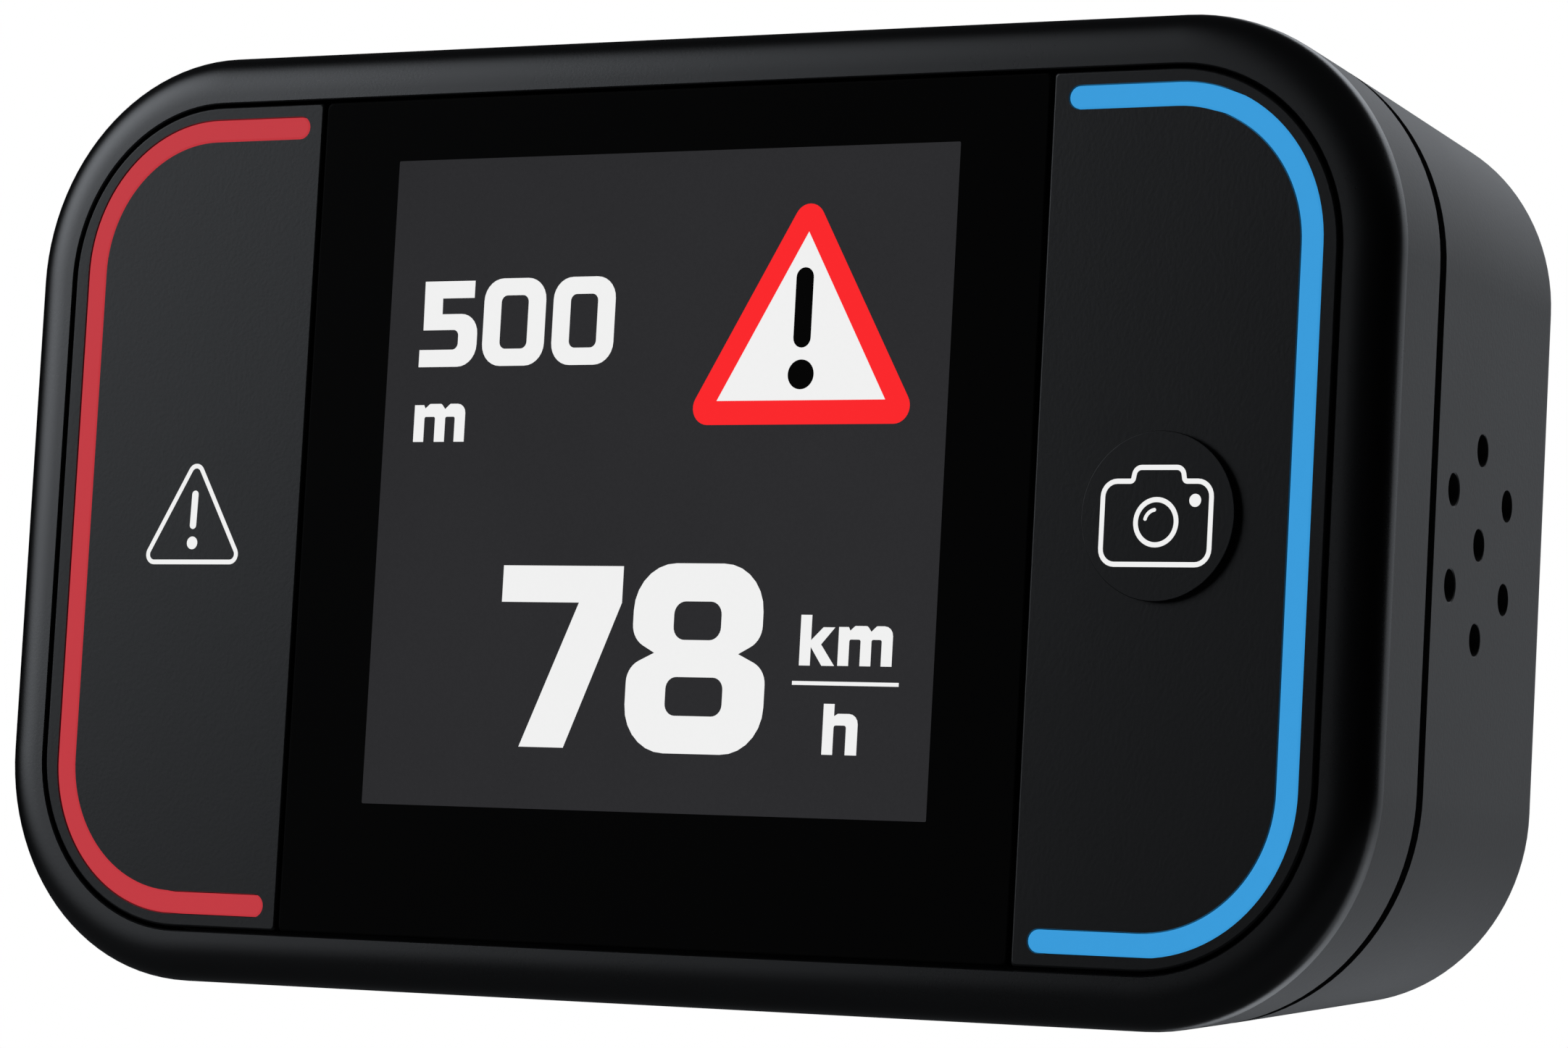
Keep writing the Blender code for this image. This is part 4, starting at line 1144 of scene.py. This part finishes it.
def raised_pad_outline(front, inset):
    return circle(SWITCH_X, 0.0, front.pad_radius - inset, 96)


def leg_places(side):
    """Where a light's two legs pass through the button, in (x, z)."""
    low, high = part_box("right_led_top")
    return [(side * (low.x + high.x) / 2, sign * (low.z + high.z) / 2) for sign in (1, -1)]


class ALARM_OT_buttons(bpy.types.Operator):
    """Makes the two side buttons, each with its groove, pusher and pins; the right one has a raised pad"""

    bl_idname = "alarm.buttons"
    bl_label = "Side buttons"

    def execute(self, context):
        body, front = context.scene.alarm_body, context.scene.alarm_front
        plastic = panel_finish(context.scene.alarm_colours)
        thickness = front.panel_thickness
        inside = thickness / 2
        end = BUTTON_HIGH.y - FRONT
        head_front = end - PIN_HEAD_HEIGHT
        pin_x, pin_z = BUTTON_INNER + PIN_FROM_INNER_EDGE, BUTTON_TOP - PIN_FROM_TOP_EDGE
        for name, side in SIDES.items():
            sections = edge_sections(partial(panel_outline, body, side), 0.0, front.panel_edge)
            sections.append((panel_outline(body, side, 0.0), thickness))
            panel = loft(f"{name}_panel", sections, [plastic])
            pusher = circle(side * SWITCH_X, 0, PUSHER_RADIUS)
            added = [prism("pusher", pusher, inside, thickness + PUSHER_REACH)]
            for z in (pin_z, -pin_z):
                pin = circle(side * pin_x, z, PIN_RADIUS, 24)
                pin_head = circle(side * pin_x, z, PIN_HEAD_RADIUS, 24)
                added.append(prism("pin", pin, inside, head_front + FIT_GAP))
                added.append(prism("pin_head", pin_head, head_front, end))
            if side > 0:
                added.append(self.raised_pad(front, inside))
            groove = light_outline(front, side, -GUIDE_GAP)
            cutters = [prism("groove", groove, -OVERCUT, front.guide_depth + FIT_GAP / 2)]
            for place in leg_places(side):
                cutters.append(prism("leg_hole", circle(*place, LEG_RADIUS + GUIDE_GAP, 16), 0.0, end))
            carve(panel, cutters, added)
            belongs(panel, f"{name}_button", "button_plastic", f"{name}_button")
        return {"FINISHED"}

    def raised_pad(self, front, inside):
        sections = edge_sections(partial(raised_pad_outline, front), -RAISED_PAD_HEIGHT, front.pad_edge)
        return loft("raised_pad", sections + [(raised_pad_outline(front, 0.0), inside)])


class ALARM_OT_lights(bpy.types.Operator):
    """Makes the curved light in each button, red on the left and blue on the right"""

    bl_idname = "alarm.lights"
    bl_label = "Lights"

    def execute(self, context):
        front, colours = context.scene.alarm_front, context.scene.alarm_colours
        lit = {"left": ("red", colours.red_light), "right": ("blue", colours.blue_light)}
        for name, side in SIDES.items():
            shade, base = lit[name]
            sections = edge_sections(partial(light_outline, front, side), 0.0, front.guide_edge)
            sections.append((light_outline(front, side, 0.0), front.guide_depth))
            guide = loft(f"{name}_light", sections, [diffuser(f"{shade}_diffuser", base)])
            legs = []
            for place in leg_places(side):
                outline = circle(*place, LEG_RADIUS, 16)
                legs.append(prism("leg", outline, front.guide_depth / 2, GUIDE_HIGH.y - FRONT))
            carve(guide, [], legs)
            belongs(guide, f"{name}_button", f"{shade}_diffuser", f"{name}_light_guide")
        return {"FINISHED"}


class ALARM_OT_symbols(bpy.types.Operator):
    """Prints the warning triangle on the left button and the camera on the right one, in white ink given a
    painted glow
    """

    bl_idname = "alarm.symbols"
    bl_label = "Button symbols"

    def execute(self, context):
        front, colours = context.scene.alarm_front, context.scene.alarm_colours
        # The symbols' white ink glows: a painted glow that keeps it flat white whatever light falls on it
        white = printed("symbol_ink_painted_glow", colours.figures)
        line = front.symbol_stroke
        corner = 0.44 * MM
        centres = [(-25.73 * MM, -1.76 * MM), (-21.64 * MM, -1.74 * MM), (-23.70 * MM, 1.79 * MM)]
        outer, inner = rounded_hull(centres, corner), rounded_hull(centres, corner - line)
        bar = open_stroke([(-23.69 * MM, 0.88 * MM), (-23.72 * MM, -0.47 * MM)], 0.34 * MM)
        dot = circle(-23.71 * MM, -1.25 * MM, 0.28 * MM)
        self.symbol("triangle_symbol", [outer, inner, bar, dot], 0.0, white, "left_button")
        shapes = self.camera_shapes(line)
        self.symbol("camera_symbol", shapes, -RAISED_PAD_HEIGHT, white, "right_button")
        return {"FINISHED"}

    def camera_shapes(self, line):
        x, z = 23.755 * MM, -0.25 * MM
        corners = [
            (-2.41, -1.68, 0.62), (2.41, -1.68, 0.62), (2.41, 1.63, 0.62), (1.20, 1.63, 0.14),
            (1.10, 2.18, 0.32), (-1.00, 2.18, 0.32), (-1.10, 1.63, 0.14), (-2.41, 1.63, 0.62),
        ]
        path = filleted([(x + a * MM, z + b * MM, r * MM) for a, b, r in corners])
        lens = 0.9 * MM
        glint = arc(x, z, 0.5 * MM, 100, 165, 10)
        return [
            offset(path, line / 2),
            offset(path, -line / 2),
            circle(x, z, lens + line / 2),
            circle(x, z, lens - line / 2),
            open_stroke(glint, 0.15 * MM),
            circle(x + 1.70 * MM, z + 0.87 * MM, 0.26 * MM),
        ]

    def symbol(self, name, outlines, level, material, body):
        piece = plate(name, outlines, level - PRINT, level - PRINT / 8, material)
        belongs(piece, body, "button_plastic")


# What stays as the frame made it


class ALARM_OT_inner_finishes(bpy.types.Operator):
    """Gives each piece inside the housing its real finish"""

    bl_idname = "alarm.inner_finishes"
    bl_label = "Inner finishes"

    def execute(self, context):
        steel = {**BRUSHED, "metallic": 1.0}
        resin = finish("chip_resin", (0.020, 0.020, 0.022), 0.5, size=0.08, depth=0.003)
        foam = finish("foam", (0.05, 0.05, 0.05), 0.95, pattern="cells", size=0.35, depth=0.06)
        switch = finish("switch_plastic", (0.04, 0.04, 0.042), 0.5, size=0.1, depth=0.003)
        plunger = finish("plunger_plastic", (0.70, 0.70, 0.68), 0.45, size=0.2, depth=0.002)
        lamp = finish("lamp_phosphor", (0.80, 0.70, 0.25), 0.5, size=0.12, depth=0.004, spread=0.2)
        tracks = {"pattern": "tracks", "size": 1.6, "depth": 0.012, "rough_spread": 0.08}
        amber, dark_amber = (0.55, 0.26, 0.05), (0.38, 0.15, 0.025)
        green, dark_green = (0.02, 0.15, 0.06), (0.008, 0.075, 0.032)
        finishes = {
            "display_module": finish("display_tray", (0.55, 0.56, 0.58), 0.35, metallic=0.9, **BRUSHED),
            "display_flex": finish("amber_film", dark_amber, 0.4, other=amber, **tracks),
            "inner_frame": finish("frame_plastic", (0.05, 0.05, 0.055), 0.6, size=0.25, depth=0.012),
            "main_board": finish("board_laminate", dark_green, 0.42, other=green, **tracks),
            "processor": resin,
            "usb_tongue": resin,
            "radio_module": finish("shield_can", (0.62, 0.63, 0.64), 0.3, **steel),
            "satellite_antenna": finish("antenna_clay", (0.56, 0.50, 0.40), 0.6, pattern="cells", size=0.15),
            "battery": finish("pouch_foil", (0.60, 0.61, 0.63), 0.4, size=2.5, depth=0.06, metallic=0.7),
            "battery_pad": foam,
            "speaker_gasket": foam,
            "speaker": finish("speaker_steel", (0.28, 0.28, 0.29), 0.4, **steel),
            "speaker_mesh": finish("mesh_cloth", (0.006, 0.006, 0.006), 0.9, pattern="weave", depth=0.05),
            "usb_socket": finish("socket_steel", (0.60, 0.60, 0.61), 0.28, **steel),
            "mount_magnet": finish("nickel_plate", (0.66, 0.64, 0.60), 0.22, **steel),
            "left_switch": switch,
            "right_switch": switch,
            "left_switch_plunger": plunger,
            "right_switch_plunger": plunger,
        }
        for name in SIDES:
            for end in ("top", "bottom"):
                finishes[f"{name}_led_{end}"] = lamp
        for node, material in finishes.items():
            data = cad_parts[node].data
            data.materials.clear()
            data.materials.append(material)
        return {"FINISHED"}


# Stage


def facing(place, target, roll=0.0):
    """A matrix at a place that looks at a target, turned by a roll in degrees."""
    back = (Vector(place) - Vector(target)).normalized()
    right = Vector((0.0, 0.0, 1.0)).cross(back).normalized()
    up = back.cross(right)
    turn = math.radians(roll)
    rolled_right = right * math.cos(turn) + up * math.sin(turn)
    rolled_up = up * math.cos(turn) - right * math.sin(turn)
    return Matrix.Translation(place) @ Matrix((rolled_right, rolled_up, back)).transposed().to_4x4()


def from_direction(azimuth, elevation, distance):
    """A point seen from the object at an azimuth, measured from -Y towards +X, and an elevation."""
    a, e = math.radians(azimuth), math.radians(elevation)
    return Vector((math.sin(a) * math.cos(e), -math.cos(a) * math.cos(e), math.sin(e))) * distance


class ALARM_OT_stage(bpy.types.Operator):
    """Makes the camera, the pale floor, the soft lights and the white surround"""

    bl_idname = "alarm.stage"
    bl_label = "Stage"

    def execute(self, context):
        scene = context.scene
        scene.view_settings.view_transform = "Standard"
        self.camera(scene)
        self.floor()
        target = Vector((0.0, FRONT / 2, 0.0))
        self.fill("left_fill", target + from_direction(-55, 25, 0.7), target, size=0.5, power=1.5)
        self.fill("rear_fill", target + from_direction(140, 30, 0.8), target, size=0.7, power=7.0)
        self.surround(scene)
        return {"FINISHED"}

    def camera(self, scene):
        data = bpy.data.cameras.new("camera")
        data.sensor_width = 36.0
        data.lens = 134.07
        data.clip_start, data.clip_end = 0.01, 20.0
        camera = in_scene("camera", data)
        target = Vector((4.71, -17.35, -0.056)) * MM
        place = target + from_direction(31.13, -4.82, 243.25 * MM)
        camera.matrix_world = facing(place, target, roll=3.09)
        scene.camera = camera

    def floor(self):
        bm = bmesh.new()
        drop, radius = 75 * MM, 4.0
        outline = circle(0.0, 0.0, radius, 96)
        bm.faces.new([bm.verts.new((x, y, -drop)) for x, y in outline])
        mesh = bpy.data.meshes.new("floor")
        bm.to_mesh(mesh)
        bm.free()
        floor = in_scene("floor", mesh)
        material = bpy.data.materials.new("pale_floor")
        material.use_nodes = True
        shader = material.node_tree.nodes["Principled BSDF"]
        shader.inputs["Base Color"].default_value = (0.02, 0.02, 0.02, 1.0)
        shader.inputs["Roughness"].default_value = 0.9
        shader.inputs["Specular IOR Level"].default_value = 0.0
        shader.inputs["Emission Color"].default_value = (1.0, 1.0, 1.0, 1.0)
        shader.inputs["Emission Strength"].default_value = 0.93
        mesh.materials.append(material)
        floor.visible_glossy = False
        floor.visible_diffuse = False

    def fill(self, name, place, target, size, power):
        """A large square light that brightens dull surfaces and isn't mirrored by glossy ones."""
        data = bpy.data.lights.new(name, "AREA")
        data.size = size
        data.energy = power
        light = in_scene(name, data)
        light.matrix_world = facing(place, target)
        light.visible_camera = False
        light.visible_glossy = False

    def fade(self, tree, value, start, end):
        """Rises softly from 0 to 1 as a value goes from start to end."""
        ramp = tree.nodes.new("ShaderNodeMapRange")
        ramp.interpolation_type = "SMOOTHSTEP"
        ramp.inputs["From Min"].default_value = start
        ramp.inputs["From Max"].default_value = end
        tree.links.new(value, ramp.inputs["Value"])
        return ramp.outputs["Result"]

    def surround(self, scene):
        """White for the camera; for reflections, a white wall behind the object and a dim room in front."""
        world = bpy.data.worlds.new("surround")
        scene.world = world
        world.use_nodes = True
        tree = world.node_tree
        tree.nodes.clear()
        out = tree.nodes.new("ShaderNodeOutputWorld")
        mix = tree.nodes.new("ShaderNodeMixShader")
        path = tree.nodes.new("ShaderNodeLightPath")
        seen = tree.nodes.new("ShaderNodeBackground")
        seen.inputs["Color"].default_value = (1.0, 1.0, 1.0, 1.0)
        room = tree.nodes.new("ShaderNodeBackground")
        room.inputs["Color"].default_value = (0.94, 0.99, 1.06, 1.0)
        strength = self.room_light(tree)
        links = tree.links
        links.new(strength, room.inputs["Strength"])
        links.new(path.outputs["Is Camera Ray"], mix.inputs["Fac"])
        links.new(room.outputs["Background"], mix.inputs[1])
        links.new(seen.outputs["Background"], mix.inputs[2])
        links.new(mix.outputs["Shader"], out.inputs["Surface"])

    def room_light(self, tree):
        """How bright the room is in each direction."""
        place = tree.nodes.new("ShaderNodeTexCoord")
        axes = tree.nodes.new("ShaderNodeSeparateXYZ")
        tree.links.new(place.outputs["Generated"], axes.inputs["Vector"])
        to_right, to_back, height = (axes.outputs[axis] for axis in "XYZ")
        wall = product(tree, self.fade(tree, to_back, 0.70, 0.82), self.fade(tree, to_right, -0.46, -0.24))
        high_glow = product(tree, height, height, 2.9)
        wall = product(tree, wall, total(tree, high_glow, product(tree, height, 0.4), 0.38))
        window = product(
            tree,
            self.fade(tree, to_right, -0.45, -0.82),
            3.9,
            self.fade(tree, height, -0.15, 0.30),
            self.fade(tree, height, 0.85, 0.50),
            self.fade(tree, to_back, -0.20, -0.75),
        )
        bounce = product(
            tree,
            self.fade(tree, height, -0.05, -0.25),
            0.45,
            self.fade(tree, to_right, 0.30, 0.50),
            self.fade(tree, to_back, 0.35, 0.55),
        )
        below = product(tree, self.fade(tree, height, -0.10, -0.35), 0.045)
        above = product(tree, self.fade(tree, height, 0.30, 0.60), 0.02)
        least = 0.003
        return total(tree, window, bounce, wall, below, above, least)


PIECES = (
    ALARM_OT_bezel,
    ALARM_OT_seam,
    ALARM_OT_rear_cover,
    ALARM_OT_rear_fittings,
    ALARM_OT_cover_glass,
    ALARM_OT_picture,
    ALARM_OT_buttons,
    ALARM_OT_lights,
    ALARM_OT_symbols,
    ALARM_OT_inner_finishes,
    ALARM_OT_stage,
)


class ALARM_PT_panel(bpy.types.Panel):
    """Lists the pieces in the order in which they are made"""

    bl_idname = "ALARM_PT_panel"
    bl_label = "Traffic Alarm"
    bl_space_type = "VIEW_3D"
    bl_region_type = "UI"
    bl_category = "Traffic Alarm"

    def draw(self, context):
        for piece in PIECES:
            self.layout.operator(piece.bl_idname)


GROUPS = {"alarm_body": AlarmBody, "alarm_front": AlarmFront, "alarm_colours": AlarmColours}


def register():
    for cls in (*GROUPS.values(), *PIECES, ALARM_PT_panel):
        bpy.utils.register_class(cls)
    for name, group in GROUPS.items():
        setattr(bpy.types.Scene, name, PointerProperty(type=group))


def unregister():
    for name in GROUPS:
        delattr(bpy.types.Scene, name)
    for cls in (ALARM_PT_panel, *reversed(PIECES), *reversed(GROUPS.values())):
        bpy.utils.unregister_class(cls)


def main():
    register()
    for piece in PIECES:
        group, name = piece.bl_idname.split(".")
        getattr(getattr(bpy.ops, group), name)()


if __name__ == "__main__":
    main()
